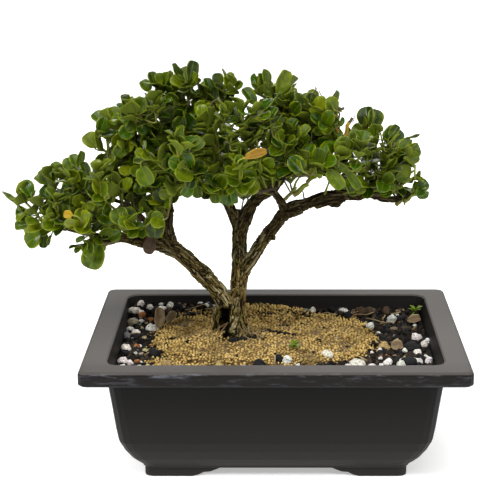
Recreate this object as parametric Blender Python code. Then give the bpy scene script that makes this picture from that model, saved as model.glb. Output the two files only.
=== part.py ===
"""Natal plum bonsai: a small leafy tree in a rectangular plastic training pot, with its soil.

Metres, +Z up. The pot stands on z = 0, the trunk rises near x = 0, y = 0, and +X is to the
viewer's right. The pieces are the pot, the potting mix, the root ball of clay granules, the
wood of the tree, a leafy spray on the end of each twig, and a few odd leaves and seedlings.
"""
import math
import random
from collections import namedtuple

import bmesh
import bpy
from mathutils import Matrix, Quaternion, Vector, noise
from mathutils.bvhtree import BVHTree

GAP = 0.0003
SEED = 11

# Pot
POT_X = 0.0305
POT_LENGTH = 0.257
POT_WIDTH = 0.194
POT_HEIGHT = 0.088
RIM_FACE = 0.010
RIM_INSET = 0.0165
RIM_ROUND = 0.0025
LIP_ROUND = 0.0012
RIM_CORNER = 0.005
RIM_RECESS = 0.0035
BODY_CORNER = 0.009
WALL = 0.0032
FOOT_HEIGHT = 0.0068
FOOT_INSET = 0.0388
FOOT_WALL = 0.010
FOOT_CORNER = 0.006
FLOOR = 0.0110
DRAIN_HOLE = 0.008
DRAIN_SPACING = 0.043
# Distance in from the rim's outer face, and height, down the outside of the wall
WALL_PROFILE = (
    (0.0172, 0.0700),
    (0.0193, 0.0545),
    (0.0212, 0.0390),
    (0.0227, 0.0300),
    (0.0258, 0.0229),
    (0.0301, 0.0157),
    (0.0332, 0.0119),
    (0.0364, 0.0085),
    (0.0372, FOOT_HEIGHT),
)
# The ogee at a foot's end: how far from the narrow top of the gap to its wide bottom, and height
OGEE = (
    (1.00, -0.0020),
    (1.00, 0.0000),
    (0.78, 0.0012),
    (0.62, 0.0030),
    (0.40, 0.0034),
    (0.20, 0.0050),
    (0.00, FOOT_HEIGHT),
)
# Half width of the gap between two feet, at its top and at its bottom
LONG_GAP = (0.0367, 0.0571)
SHORT_GAP = (0.0212, 0.0332)

# Soil
SOIL_EXTRA = 4
MIX_TOP = 0.0755
MIX_BUMP = 0.0012
BALL_X = 0.0225
BALL_Y = 0.0115
BALL_HALF_X = 0.0785
BALL_HALF_Y = 0.0600
BALL_SQUARE = 2.7
BALL_FLOOR = 0.030
BALL_EDGE_TOP = 0.0772
BALL_RISE = 0.0070
BALL_RISE_WIDTH = 0.042
BALL_BUMP = 0.0013
# The side of the root ball, bottom to top: share of its full width, and height
BALL_SIDE = (
    (0.900, BALL_FLOOR),
    (0.955, BALL_FLOOR + 0.010),
    (1.000, BALL_EDGE_TOP - 0.004),
)
PEBBLES = 16

# Wood: the points of each limb, its radius at both ends and its number of sides
LIMBS = {
    "trunk": (
        ((0.002, -0.003, 0.070), (0.002, -0.003, 0.086), (0.003, -0.001, 0.096), (0.004, 0.001, 0.112),
         (0.005, 0.004, 0.136), (0.005, 0.006, 0.152), (0.006, 0.007, 0.163)), 0.0084, 0.0048, 9),
    "left_trunk": (
        ((0.001, -0.003, 0.084), (-0.003, -0.003, 0.103), (-0.011, -0.005, 0.118), (-0.020, -0.008, 0.129),
         (-0.029, -0.011, 0.140), (-0.039, -0.013, 0.149), (-0.046, -0.014, 0.156)), 0.0072, 0.0048, 8),
    "right_trunk": (
        ((0.0045, 0.003, 0.118), (0.009, 0.002, 0.131), (0.016, 0.000, 0.142), (0.024, -0.003, 0.155),
         (0.032, -0.006, 0.166), (0.039, -0.008, 0.175)), 0.0050, 0.0042, 7),
    "right_limb": (
        ((0.034, -0.0065, 0.169), (0.041, -0.008, 0.176), (0.052, -0.010, 0.180), (0.063, -0.012, 0.185),
         (0.075, -0.012, 0.187), (0.084, -0.010, 0.185), (0.094, -0.008, 0.186), (0.110, -0.006, 0.182),
         (0.120, -0.005, 0.184), (0.127, -0.005, 0.189)), 0.0042, 0.0018, 6),
    "left_fork": (
        ((0.0055, 0.006, 0.155), (-0.001, 0.012, 0.170), (-0.006, 0.016, 0.178), (-0.020, 0.022, 0.197),
         (-0.030, 0.024, 0.225), (-0.033, 0.020, 0.247)), 0.0040, 0.0016, 6),
    "right_fork": (
        ((0.0058, 0.006, 0.156), (0.012, 0.006, 0.173), (0.018, 0.002, 0.181), (0.028, -0.004, 0.189),
         (0.035, -0.008, 0.198), (0.047, -0.010, 0.218), (0.054, -0.008, 0.238)), 0.0040, 0.0016, 6),
    "left_riser": (
        ((-0.042, -0.0135, 0.152), (-0.044, -0.009, 0.166), (-0.044, -0.002, 0.177), (-0.050, 0.002, 0.191),
         (-0.057, 0.004, 0.208), (-0.063, 0.004, 0.229)), 0.0042, 0.0016, 6),
    "left_limb": (
        ((-0.041, -0.0135, 0.151), (-0.053, -0.016, 0.154), (-0.065, -0.018, 0.157), (-0.076, -0.019, 0.159),
         (-0.086, -0.020, 0.157), (-0.100, -0.018, 0.162), (-0.116, -0.015, 0.164),
         (-0.126, -0.012, 0.166)), 0.0034, 0.0017, 6),
    "left_side_branch": (
        ((-0.050, -0.015, 0.154), (-0.061, -0.016, 0.172), (-0.075, -0.014, 0.182),
         (-0.086, -0.012, 0.183)), 0.0021, 0.0014, 5),
    "elbow_stub": (
        ((0.037, -0.008, 0.172), (0.0345, -0.010, 0.180), (0.031, -0.013, 0.186),
         (0.028, -0.014, 0.190)), 0.0025, 0.0019, 6),
    "left_stub": (((-0.022, -0.009, 0.131), (-0.018, -0.012, 0.139)), 0.0024, 0.0019, 6),
    "right_stub": (((0.020, -0.001, 0.149), (0.013, -0.004, 0.154)), 0.0024, 0.0020, 6),
    "snag": (
        ((0.050, -0.009, 0.226), (0.062, -0.015, 0.232), (0.072, -0.020, 0.239),
         (0.080, -0.022, 0.250)), 0.0014, 0.0009, 4),
}
# Limbs that bear twigs
BEARING = ("right_limb", "left_fork", "right_fork", "left_riser", "left_limb", "left_side_branch")
# Roots: the points of each and its radius at both ends
ROOTS = {
    "front": (
        ((0.000, -0.004, 0.098), (-0.004, -0.009, 0.089), (-0.006, -0.012, 0.081),
         (-0.009, -0.017, 0.066)), 0.0048, 0.0026),
    "right": (
        ((0.004, 0.000, 0.096), (0.009, -0.003, 0.088), (0.011, -0.004, 0.081),
         (0.015, -0.004, 0.064)), 0.0048, 0.0028),
    "back": (
        ((0.001, 0.002, 0.097), (-0.004, 0.008, 0.089), (-0.006, 0.012, 0.081),
         (-0.010, 0.018, 0.064)), 0.0048, 0.0028),
    "taproot": (((0.002, -0.002, 0.086), (0.003, -0.001, 0.072), (0.004, 0.001, 0.052)), 0.0080, 0.0050),
}
ROOT_SIDES = 6
LIMB_STEP = 0.017
TWIG_STEP = 0.026
TWIG_RADIUS = 0.0017
TWIG_END_RADIUS = 0.00120
TWIG_SIDES = 3

# Leafy sprays: where each green stem ends
SPRAY_TIPS = (
    (-0.142, -0.015, 0.184), (-0.126, 0.000, 0.194), (-0.104, -0.036, 0.200), (-0.113, 0.032, 0.188),
    (-0.084, -0.052, 0.196), (-0.090, 0.042, 0.192), (-0.132, -0.024, 0.160), (-0.090, -0.036, 0.155),
    (-0.064, -0.050, 0.176), (-0.072, 0.010, 0.188), (-0.076, 0.037, 0.160), (-0.088, 0.000, 0.216),
    (-0.082, 0.024, 0.228), (-0.062, -0.028, 0.246), (-0.047, 0.006, 0.259), (-0.030, -0.008, 0.263),
    (-0.052, -0.055, 0.222), (-0.046, 0.052, 0.222), (-0.028, -0.064, 0.216), (-0.016, -0.038, 0.242),
    (-0.012, 0.044, 0.245), (0.008, -0.046, 0.248), (0.002, 0.006, 0.257), (0.022, -0.012, 0.259),
    (0.037, 0.014, 0.255), (0.030, 0.060, 0.228), (0.034, -0.052, 0.232), (0.052, -0.016, 0.247),
    (0.066, 0.020, 0.233), (0.008, -0.072, 0.218), (-0.010, -0.052, 0.200), (0.046, -0.064, 0.214),
    (0.064, 0.050, 0.212), (0.093, -0.004, 0.233), (0.108, -0.020, 0.223), (0.121, 0.006, 0.213),
    (0.126, -0.010, 0.199), (0.092, -0.046, 0.206), (0.070, -0.052, 0.222), (0.102, 0.038, 0.190),
    (0.076, -0.030, 0.202), (0.108, -0.032, 0.194), (-0.018, 0.074, 0.216), (-0.068, 0.066, 0.204),
    (-0.118, -0.038, 0.176), (-0.036, -0.044, 0.203), (0.024, -0.042, 0.206), (-0.098, -0.050, 0.174),
)
SPRAY_LENGTH = 0.030
STEM_RADIUS = 0.00098
STEM_END_RADIUS = 0.00080
STEM_BOW = 0.0010
SHOOT_LENGTH = (0.011, 0.015)
SHOOT_RADIUS = 0.00083
SHOOT_END_RADIUS = 0.00076
SHOOT_CHANCE = 0.12
NODE_HALF = 0.0005
# Where each pair of leaves is on a stem, how far it leans out, and its size
STEM_PAIRS = ((0.36, 1.12, 0.94), (0.60, 1.02, 1.06), (0.82, 0.88, 1.0), (1.0, 0.50, 0.88))
SHOOT_PAIRS = ((1.0, 0.62, 0.88),)
LEAF_LENGTH = (0.0140, 0.0185)
LEAF_BREADTH = 0.78
LEAF_THICK = 0.0007
LEAF_FOLD = 0.22
LEAF_DROOP = 0.10
LEAF_NECK = 0.0007
LEAF_CLEAR = 0.00022
NECK_LENGTH = 0.0014
TRIES = 14
# The triangles of a blade's upper side: two corners of its neck, then its outline round to the neck again
BLADE_FACES = ((4, 0, 1), (4, 1, 2), (4, 2, 3), (4, 6, 0), (4, 5, 6))

# Leaves of another colour: the place that each grows near, and how long it is
ODD_LEAVES = {
    "gold_leaf": ((-0.111, -0.034, 0.177), 0.015),
    "orange_leaf": ((0.018, -0.072, 0.224), 0.020),
    "brown_leaf": ((-0.060, -0.032, 0.156), 0.017),
}
# Dry leaves on the soil: the place of each, its turn in degrees, and how long it is
FALLEN_LEAVES = {
    "fallen_leaf_1": ((-0.052, 0.034), 20, 0.015),
    "fallen_leaf_2": ((-0.036, 0.046), 75, 0.014),
    "fallen_leaf_3": ((0.116, -0.010), 140, 0.013),
}
# Seedlings: the place of each, its height, its pairs of leaves, and how long they are
SEEDLINGS = {
    "seedling_1": ((0.043, -0.020), 0.007, 1, 0.0060),
    "seedling_2": ((0.126, 0.052), 0.012, 2, 0.0075),
}
SEEDLING_ROOT = 0.004
SEEDLING_RADIUS = 0.0006

Limb = namedtuple("Limb", "points radius end_radius sides end_way", defaults=(None,))
Stem = namedtuple("Stem", "start way across length radius end_radius bow nodes")
Spray = namedtuple("Spray", "stem leaves shoots")
Leaf = namedtuple("Leaf", "base along normal length breadth")


def along(points, step):
    """A smooth curve through the points, read about once every step."""
    points = [Vector(point) for point in points]
    ends = [points[0] * 2 - points[1]] + points + [points[-1] * 2 - points[-2]]
    curve = []
    for a, b, c, d in zip(ends, ends[1:], ends[2:], ends[3:]):
        count = max(1, round((c - b).length / step))
        for k in range(count):
            t = k / count
            curve.append(0.5 * (2 * b + (c - a) * t + (2 * a - 5 * b + 4 * c - d) * t ** 2
                                + (3 * b - a - 3 * c + d) * t ** 3))
    curve.append(points[-1])
    return curve


def bend(start, start_way, end, end_way, step):
    """A curve from start to end that leaves and arrives in the given directions."""
    reach = (end - start).length * 0.38
    handle_a = start + start_way * reach
    handle_b = end - end_way * reach
    count = max(2, round((end - start).length / step))
    curve = []
    for k in range(count + 1):
        t = k / count
        s = 1 - t
        curve.append(start * s ** 3 + handle_a * 3 * s * s * t + handle_b * 3 * s * t * t + end * t ** 3)
    return curve


def ways(points):
    """The direction of a path at each of its points."""
    out = []
    for k in range(len(points)):
        before = points[max(k - 1, 0)]
        after = points[min(k + 1, len(points) - 1)]
        out.append((after - before).normalized())
    return out


def tube(points, radius, end_radius, sides, end_way=None):
    """The corners and faces of a closed tapered tube, with a rounded end, or a flat one square to end_way."""
    directions = ways(points)
    side = directions[0].orthogonal().normalized()
    vertices = []
    stations = [(point, 1.0) for point in points]
    if end_way:
        directions[-1] = end_way
    else:
        stations.append((points[-1] + directions[-1] * end_radius * 0.6, 0.55))
        directions.append(directions[-1])
    last = len(stations) - 1
    for k, (point, share) in enumerate(stations):
        if k:
            side = directions[k - 1].rotation_difference(directions[k]) @ side
        here = (radius + (end_radius - radius) * k / last) * share
        other = directions[k].cross(side)
        for n in range(sides):
            angle = 2 * math.pi * n / sides
            vertices.append(point + (side * math.cos(angle) + other * math.sin(angle)) * here)
    faces = [tuple(reversed(range(sides)))]
    for k in range(last):
        for n in range(sides):
            m = (n + 1) % sides
            faces.append((k * sides + n, k * sides + m, (k + 1) * sides + m, (k + 1) * sides + n))
    faces.append(tuple(last * sides + n for n in range(sides)))
    return vertices, faces


def loft(rings):
    """A closed solid through rings that have the same number of corners."""
    sides = len(rings[0])
    vertices = [point for ring in rings for point in ring]
    faces = [tuple(range(sides))]
    for k in range(len(rings) - 1):
        for n in range(sides):
            m = (n + 1) % sides
            faces.append((k * sides + n, k * sides + m, (k + 1) * sides + m, (k + 1) * sides + n))
    faces.append(tuple((len(rings) - 1) * sides + n for n in range(sides)))
    return vertices, faces


def blade(leaf, start=0.0, swell=0.0):
    """The corners and faces of a leaf: a rounded blade folded along its midrib, with a narrow neck."""
    side = leaf.normal.cross(leaf.along)
    half = leaf.length * leaf.breadth / 2 + swell
    neck = LEAF_NECK / half
    outline = ((start, -neck, 0.0), (start, neck, 0.0), (0.42, 0.93, 0.0), (0.83, 0.84, 0.05),
               (1.0, 0.0, LEAF_DROOP), (0.83, -0.84, 0.05), (0.42, -0.93, 0.0))
    vertices = []
    for lift in (LEAF_THICK / 2 + swell, -LEAF_THICK / 2 - swell):
        for x, y, drop in outline:
            rise = abs(y) * half * LEAF_FOLD - drop * leaf.length + lift
            forward = leaf.along * (x * leaf.length + (swell if x == 1.0 else 0.0))
            vertices.append(leaf.base + forward + side * (y * half) + leaf.normal * rise)
    faces = list(BLADE_FACES)
    faces += [tuple(v + 7 for v in reversed(face)) for face in BLADE_FACES]
    for k in range(7):
        m = (k + 1) % 7
        faces.append((k, k + 7, m + 7))
        faces.append((k, m + 7, m))
    return vertices, faces


def stem_point(stem, share):
    return stem.start + stem.way * (stem.length * share) + stem.bow * (4 * share * (1 - share))


def face_way(stem, face):
    """The direction that one of a stem's four sides faces."""
    other = stem.way.cross(stem.across)
    return (stem.across, other, -stem.across, -other)[face % 4]


def stem_radius(stem, share):
    return stem.radius + (stem.end_radius - stem.radius) * share


def stem_ring(stem, share, swell=0.0):
    """The four corners of a stem at a share of its length."""
    middle = stem_point(stem, share)
    reach = (stem_radius(stem, share) + swell) / math.sqrt(2)
    return [middle + (face_way(stem, n) + face_way(stem, n + 1)) * reach for n in range(4)]


def stem_shape(stem, start=0.0, swell=0.0):
    """The corners and faces of a plain stem, without its leaves."""
    return loft([stem_ring(stem, share, swell) for share in (start, 0.25, 0.5, 0.75, 1.0)])


def node_middle(stem, share):
    """The middle height of the short band of a stem that a pair of leaves grows from."""
    return min(share, 1.0 - NODE_HALF / stem.length)


def tree_of(shape):
    return BVHTree.FromPolygons(*shape)


class Space:
    """What has been placed so far, to keep new pieces clear of it."""

    def __init__(self):
        self.placed = []

    def add(self, shape):
        centre = sum(shape[0], Vector()) / len(shape[0])
        reach = max((vertex - centre).length for vertex in shape[0])
        self.placed.append((centre, reach, tree_of(shape)))

    def clear(self, shape):
        centre = sum(shape[0], Vector()) / len(shape[0])
        reach = max((vertex - centre).length for vertex in shape[0])
        near = [tree for other, far, tree in self.placed if (other - centre).length < reach + far]
        if not near:
            return True
        own = tree_of(shape)
        return not any(tree.overlap(own) for tree in near)


def turned(direction, amount, rng):
    """The direction, turned at random by up to about the amount."""
    return (direction + Vector([rng.gauss(0, amount) for axis in range(3)])).normalized()


def grow_wood():
    """The limbs and roots, and the places on the limbs that can bear a twig."""
    wood = []
    places = []
    for name, (points, radius, end_radius, sides) in LIMBS.items():
        wood.append(Limb(along(points, LIMB_STEP), radius, end_radius, sides))
        if name in BEARING:
            fine = along(points, 0.004)
            for k, (point, way) in enumerate(zip(fine, ways(fine))):
                share = k / (len(fine) - 1)
                if share > 0.12:
                    places.append((point, way, radius + (end_radius - radius) * share))
    for points, radius, end_radius in ROOTS.values():
        wood.append(Limb(along(points, LIMB_STEP), radius, end_radius, ROOT_SIDES))
    return wood, places


def best_place(tip, places):
    """The place on the wood that a twig to this tip would come from."""
    def cost(place):
        point, way, _ = place
        reach = tip - point
        turn = 1 - way.dot(reach.normalized())
        short = max(0.0, 0.034 - reach.length) * 3
        down = max(0.0, point.z - tip.z) * 1.5
        return reach.length * (1 + 0.35 * turn) + short + down
    return min(places, key=cost)


def grow_twigs(wood, places, space):
    """A woody twig to each spray, and the spray's green stem beyond it."""
    trunk_top = Vector(LIMBS["trunk"][0][-1])
    order = sorted(range(len(SPRAY_TIPS)), key=lambda n: (Vector(SPRAY_TIPS[n]) - trunk_top).length)
    stems = {}
    for number in order:
        rng = random.Random(SEED * 1000 + number)
        tip = Vector(SPRAY_TIPS[number])
        point, way, radius = best_place(tip, places)
        reach = tip - point
        length = min(SPRAY_LENGTH, max(0.018, reach.length * 0.62))
        thick = min(TWIG_RADIUS, radius * 0.85)
        for attempt in range(TRIES * 2):
            outward = turned(reach.normalized() + Vector((0, 0, 0.35)), 0.10 + 0.02 * attempt, rng)
            base = tip - outward * length
            leaving = (way * 0.6 + (base - point).normalized()).normalized()
            path = bend(point, leaving, base, outward, TWIG_STEP)
            across = Quaternion(outward, rng.uniform(0, math.pi)) @ outward.orthogonal().normalized()
            bow = face_way(Stem(base, outward, across, 0, 0, 0, 0, 0), rng.randrange(4)) * STEM_BOW
            stem = Stem(base + outward * GAP, outward, across, length, STEM_RADIUS, STEM_END_RADIUS, bow,
                        STEM_PAIRS)
            guard = stem_shape(stem, 0.001 / length, GAP * 1.5)
            twig_guard = tube(path, thick + GAP, TWIG_END_RADIUS + GAP, TWIG_SIDES, outward)
            room = all(space[kind].clear(guard) for kind in ("wood", "stems"))
            if room and space["stems"].clear(twig_guard):
                break
        wood.append(Limb(path, thick, TWIG_END_RADIUS, TWIG_SIDES, outward))
        space["wood"].add(tube(*wood[-1]))
        space["stems"].add(stem_shape(stem))
        for spot, spot_way in list(zip(path, ways(path)))[1:-1]:
            places.append((spot, spot_way, TWIG_RADIUS))
        stems[number] = stem
    return stems


def side_shoots(stem, space, rng):
    """A short green shoot from between two leaves of a stem, where there is room for one."""
    for attempt in range(TRIES):
        node = rng.choice((0, 1))
        face = 1 + node + 2 * rng.randrange(2)
        out = face_way(stem, face)
        start = stem_point(stem, stem.nodes[node][0]) + out * stem.radius * 0.7
        way = turned(out + stem.way * 0.8 + Vector((0, 0, 0.2)), 0.12, rng)
        across = (stem.way - way * stem.way.dot(way)).normalized()
        length = rng.uniform(*SHOOT_LENGTH)
        shoot = Stem(start, way, across, length, SHOOT_RADIUS, SHOOT_END_RADIUS, Vector(), SHOOT_PAIRS)
        guard = stem_shape(shoot, 0.0022 / shoot.length, GAP)
        if way.dot(out) > 0.55 and space["wood"].clear(guard) and space["stems"].clear(guard):
            space["stems"].add(stem_shape(shoot))
            return {(node, face % 4): shoot}
    return {}


def grow_leaf(stem, node, face, size, rng, space, gap=0.0):
    """A leaf from one side of a stem, bent clear of what is there, or none if there is no room."""
    share, lean, scale = stem.nodes[node]
    share = node_middle(stem, share)
    out = face_way(stem, face)
    broad = stem.way.cross(out)
    base = stem_point(stem, share) + out * (stem_radius(stem, share) / math.sqrt(2) + gap)
    for attempt in range(TRIES):
        loose = 0.08 + 0.03 * attempt
        direction = turned(stem.way * math.cos(lean) + out * math.sin(lean), loose, rng)
        upper = turned(stem.way * math.sin(lean) - out * math.cos(lean) + Vector((0, 0, 0.5)), loose, rng)
        normal = (upper - direction * upper.dot(direction)).normalized()
        length = size * scale * rng.uniform(0.93, 1.07) * (1 - 0.012 * attempt)
        leaf = Leaf(base, direction, normal, length, LEAF_BREADTH * rng.uniform(0.9, 1.1))
        if direction.dot(out) < 0.30 or normal.cross(direction).dot(broad) < 0.72:
            continue
        guard = blade(leaf, 0.0, GAP / 2) if gap else blade(leaf, NECK_LENGTH / leaf.length, LEAF_CLEAR)
        if all(part.clear(guard) for part in space.values()):
            space["leaves"].add(blade(leaf))
            return leaf
    return None


def grow_pairs(stem, space, rng, size):
    """Pairs of leaves up a stem, each pair turned a quarter from the last."""
    leaves = {}
    for node in range(len(stem.nodes)):
        for face in (node % 2, node % 2 + 2):
            leaf = grow_leaf(stem, node, face, rng.uniform(*size), rng, space)
            if leaf:
                leaves[node, face] = leaf
    return leaves


def grow_sprays(stems, space):
    """The leaves and the side shoots of every spray."""
    shoots = {}
    for number in sorted(stems):
        rng = random.Random(SEED * 2000 + number)
        shoots[number] = side_shoots(stems[number], space, rng) if rng.random() < SHOOT_CHANCE else {}
    sprays = []
    for number in sorted(stems):
        rng = random.Random(SEED * 3000 + number)
        leaves = grow_pairs(stems[number], space, rng, LEAF_LENGTH)
        side = {}
        for spot, shoot in shoots[number].items():
            side[spot] = (shoot, grow_pairs(shoot, space, rng, LEAF_LENGTH))
        sprays.append(Spray(stems[number], leaves, side))
    return sprays


def grow_odd_leaves(sprays, space):
    """The leaves of another colour, each in a free place on the stem nearest to where it grows."""
    odd = {}
    for name, (place, length) in ODD_LEAVES.items():
        rng = random.Random(name)
        spots = []
        for spray in sprays:
            for node in range(len(spray.stem.nodes)):
                for face in range(4):
                    if (node, face) not in spray.leaves and (node, face) not in spray.shoots:
                        point = stem_point(spray.stem, spray.stem.nodes[node][0])
                        spots.append(((point - Vector(place)).length, len(spots), spray.stem, node, face))
        for distance, order, stem, node, face in sorted(spots, key=lambda spot: spot[:2]):
            leaf = grow_leaf(stem, node, face, length, rng, space, GAP * 2)
            if leaf:
                odd[name] = leaf
                break
    return odd


def grow_tree():
    """All of the tree: its wood, its sprays and its leaves of another colour."""
    wood, places = grow_wood()
    space = {"wood": Space(), "stems": Space(), "leaves": Space()}
    for limb in wood:
        space["wood"].add(tube(limb.points, limb.radius + GAP, limb.end_radius + GAP, limb.sides))
    sprays = grow_sprays(grow_twigs(wood, places, space), space)
    return wood, sprays, grow_odd_leaves(sprays, space)


# Building


def material(name, colour, roughness):
    made = bpy.data.materials.new(name)
    made.use_nodes = True
    made.diffuse_color = (*colour, 1)
    shader = made.node_tree.nodes["Principled BSDF"]
    shader.inputs["Base Color"].default_value = (*colour, 1)
    shader.inputs["Roughness"].default_value = roughness
    shader.inputs["Metallic"].default_value = 0.0
    return made


def put(name, shape, parent=None, finish=None):
    """An object from corners and faces, its faces turned outward."""
    mesh = bpy.data.meshes.new(name)
    mesh.from_pydata([tuple(vertex) for vertex in shape[0]], [], shape[1])
    bm = bmesh.new()
    bm.from_mesh(mesh)
    bmesh.ops.recalc_face_normals(bm, faces=bm.faces)
    bm.to_mesh(mesh)
    bm.free()
    made = bpy.data.objects.new(name, mesh)
    bpy.context.scene.collection.objects.link(made)
    made.parent = parent
    if finish:
        mesh.materials.append(finish)
    return made


def combine(body, operation, others):
    """Joins the other objects to the body, or cuts them from it, and removes them."""
    group = bpy.data.collections.new("others")
    bpy.context.scene.collection.children.link(group)
    for other in others:
        group.objects.link(other)
    change = body.modifiers.new("change", "BOOLEAN")
    change.operation = operation
    change.operand_type = "COLLECTION"
    change.collection = group
    change.solver = "EXACT"
    graph = bpy.context.evaluated_depsgraph_get()
    mesh = bpy.data.meshes.new_from_object(body.evaluated_get(graph))
    body.modifiers.clear()
    body.data = mesh
    for other in others:
        bpy.data.objects.remove(other)
    bpy.data.collections.remove(group)


def keep_largest(body):
    """Drops loose scraps, so that the body is one piece."""
    bm = bmesh.new()
    bm.from_mesh(body.data)
    left = set(bm.verts)
    pieces = []
    while left:
        reached = [left.pop()]
        piece = set(reached)
        while reached:
            for edge in reached.pop().link_edges:
                for vertex in edge.verts:
                    if vertex in left:
                        left.discard(vertex)
                        piece.add(vertex)
                        reached.append(vertex)
        pieces.append(piece)
    pieces.sort(key=len)
    scraps = [vertex for piece in pieces[:-1] for vertex in piece]
    bmesh.ops.delete(bm, geom=scraps, context="VERTS")
    bmesh.ops.dissolve_degenerate(bm, dist=0.000002, edges=bm.edges)
    bm.to_mesh(body.data)
    bm.free()


def rounded_ring(inset, height, corner, steps=3, extra=0):
    """A level rounded rectangle, set in from the rim's outer face, with extra points on its sides."""
    half_x = POT_LENGTH / 2 - inset
    half_y = POT_WIDTH / 2 - inset
    points = []
    for quarter, (sx, sy) in enumerate(((1, 1), (-1, 1), (-1, -1), (1, -1))):
        for k in range(steps + 1):
            angle = math.radians(90 * quarter + 90 * k / steps)
            points.append(Vector((POT_X + sx * (half_x - corner) + corner * math.cos(angle),
                                  sy * (half_y - corner) + corner * math.sin(angle), height)))
    if not extra:
        return points
    full = []
    for k, point in enumerate(points):
        full.append(point)
        if k % (steps + 1) == steps:
            after = points[(k + 1) % len(points)]
            full += [point.lerp(after, (j + 1) / (extra + 1)) for j in range(extra)]
    return full


def wall_inset(height):
    """How far in from the rim's face the wall's outside is at a height."""
    profile = ((RIM_INSET, POT_HEIGHT - RIM_FACE),) + WALL_PROFILE
    for (inset_a, high), (inset_b, low) in zip(profile, profile[1:]):
        if height >= low:
            return inset_a + (inset_b - inset_a) * min(1.0, (high - height) / (high - low))
    return profile[-1][0]


def make_pot(root, finish):
    """The moulded pot: wall, floor, rim and four corner feet."""
    under = POT_HEIGHT - RIM_FACE
    rings = [rounded_ring(inset, height, BODY_CORNER) for inset, height in reversed(WALL_PROFILE)]
    rings.append(rounded_ring(RIM_INSET, under + RIM_RECESS, BODY_CORNER))
    rings.append(rounded_ring(WALL + 0.0005, under + RIM_RECESS, RIM_CORNER))
    rings.append(rounded_ring(WALL, under, RIM_CORNER))
    for angle in (0, 90):
        turn = math.radians(angle)
        inset = LIP_ROUND * (1 - math.sin(turn))
        rings.append(rounded_ring(inset, under + LIP_ROUND * (1 - math.cos(turn)), RIM_CORNER))
    for angle in (0, 30, 60, 90):
        turn = math.radians(angle)
        inset = RIM_ROUND * (1 - math.cos(turn))
        rings.append(rounded_ring(inset, POT_HEIGHT - RIM_ROUND * (1 - math.sin(turn)), RIM_CORNER))
    rings.append(rounded_ring(RIM_INSET - 0.0005, POT_HEIGHT, BODY_CORNER))
    rings.append(rounded_ring(RIM_INSET + 0.0005, POT_HEIGHT - 0.0008, BODY_CORNER))
    for height in (under, 0.0545, 0.030, 0.0157):
        rings.append(rounded_ring(wall_inset(height) + WALL, height, BODY_CORNER))
    rings.append(rounded_ring(wall_inset(FLOOR) + WALL + 0.002, FLOOR, BODY_CORNER))
    pot = put("pot", loft(rings), root, finish)

    skirt = put("skirt", loft([rounded_ring(FOOT_INSET, height, FOOT_CORNER)
                               for height in (0.0, FOOT_HEIGHT + 0.002)]))
    hollow = put("hollow", loft([rounded_ring(FOOT_INSET + FOOT_WALL, height, FOOT_CORNER / 2)
                                 for height in (-0.002, FOOT_HEIGHT + 0.004)]))
    combine(skirt, "DIFFERENCE", [hollow])
    combine(skirt, "DIFFERENCE", [foot_gap("long_gap", LONG_GAP, "x")])
    combine(skirt, "DIFFERENCE", [foot_gap("short_gap", SHORT_GAP, "y")])
    combine(pot, "UNION", [skirt])
    combine(pot, "DIFFERENCE", drain_holes())
    round_edges(pot, 35)
    return pot


def drain_holes():
    """Cutters for the square holes in the pot's floor, in two rows."""
    half = DRAIN_HOLE / 2
    holes = []
    for column in range(3):
        for row in range(2):
            x = POT_X + (column - 1) * DRAIN_SPACING
            y = (row - 0.5) * DRAIN_SPACING
            square = [(x + half, y + half), (x - half, y + half), (x - half, y - half), (x + half, y - half)]
            rings = [[Vector((*corner, height)) for corner in square] for height in (-0.001, FLOOR + 0.001)]
            holes.append(put("hole", loft(rings)))
    return holes


def foot_gap(name, widths, axis):
    """A cutter with an ogee edge for the gap between two feet, lying across the given axis."""
    top, bottom = widths
    half = [(top + (bottom - top) * share, height) for share, height in OGEE]
    half.append((top, FOOT_HEIGHT + 0.004))
    outline = half + [(-width, height) for width, height in reversed(half)]
    rings = []
    for reach in (-0.2, 0.2):
        if axis == "x":
            rings.append([Vector((POT_X + width, reach, height)) for width, height in outline])
        else:
            rings.append([Vector((POT_X + reach, width, height)) for width, height in outline])
    return put(name, loft(rings))


def round_edges(body, angle):
    body.data.shade_smooth()
    body.data.set_sharp_from_angle(angle=math.radians(angle))


def relief(x, y, size, amount):
    """A lumpy height, for soil."""
    return noise.noise(Vector((x / size, y / size, 0.5))) * amount


def ball_radius(angle, grow=0.0):
    """How far the edge of the root ball is from its middle, in the direction of an angle."""
    a = BALL_HALF_X + grow
    b = BALL_HALF_Y + grow
    total = abs(math.cos(angle) / a) ** BALL_SQUARE + abs(math.sin(angle) / b) ** BALL_SQUARE
    return total ** (-1 / BALL_SQUARE)


def ball_point(angle, share, height, grow=0.0):
    radius = ball_radius(angle, grow) * share
    return Vector((BALL_X + radius * math.cos(angle), BALL_Y + radius * math.sin(angle), height))


def ball_height(x, y):
    """The top of the clay granules: a low mound, highest at the trunk, lumpy all over."""
    rise = BALL_RISE * math.exp(-(x * x + y * y) / BALL_RISE_WIDTH ** 2)
    return BALL_EDGE_TOP + rise + relief(x, y, 0.0065, BALL_BUMP)


def mix_height(x, y):
    return MIX_TOP + relief(x, y, 0.011, MIX_BUMP)


def soil_angles():
    """The directions from the middle of the root ball to the points of the pot's inner outline."""
    ring = rounded_ring(RIM_INSET + WALL, MIX_TOP, BODY_CORNER, 3, SOIL_EXTRA)
    return [math.atan2(point.y - BALL_Y, point.x - BALL_X) for point in ring]


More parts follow.
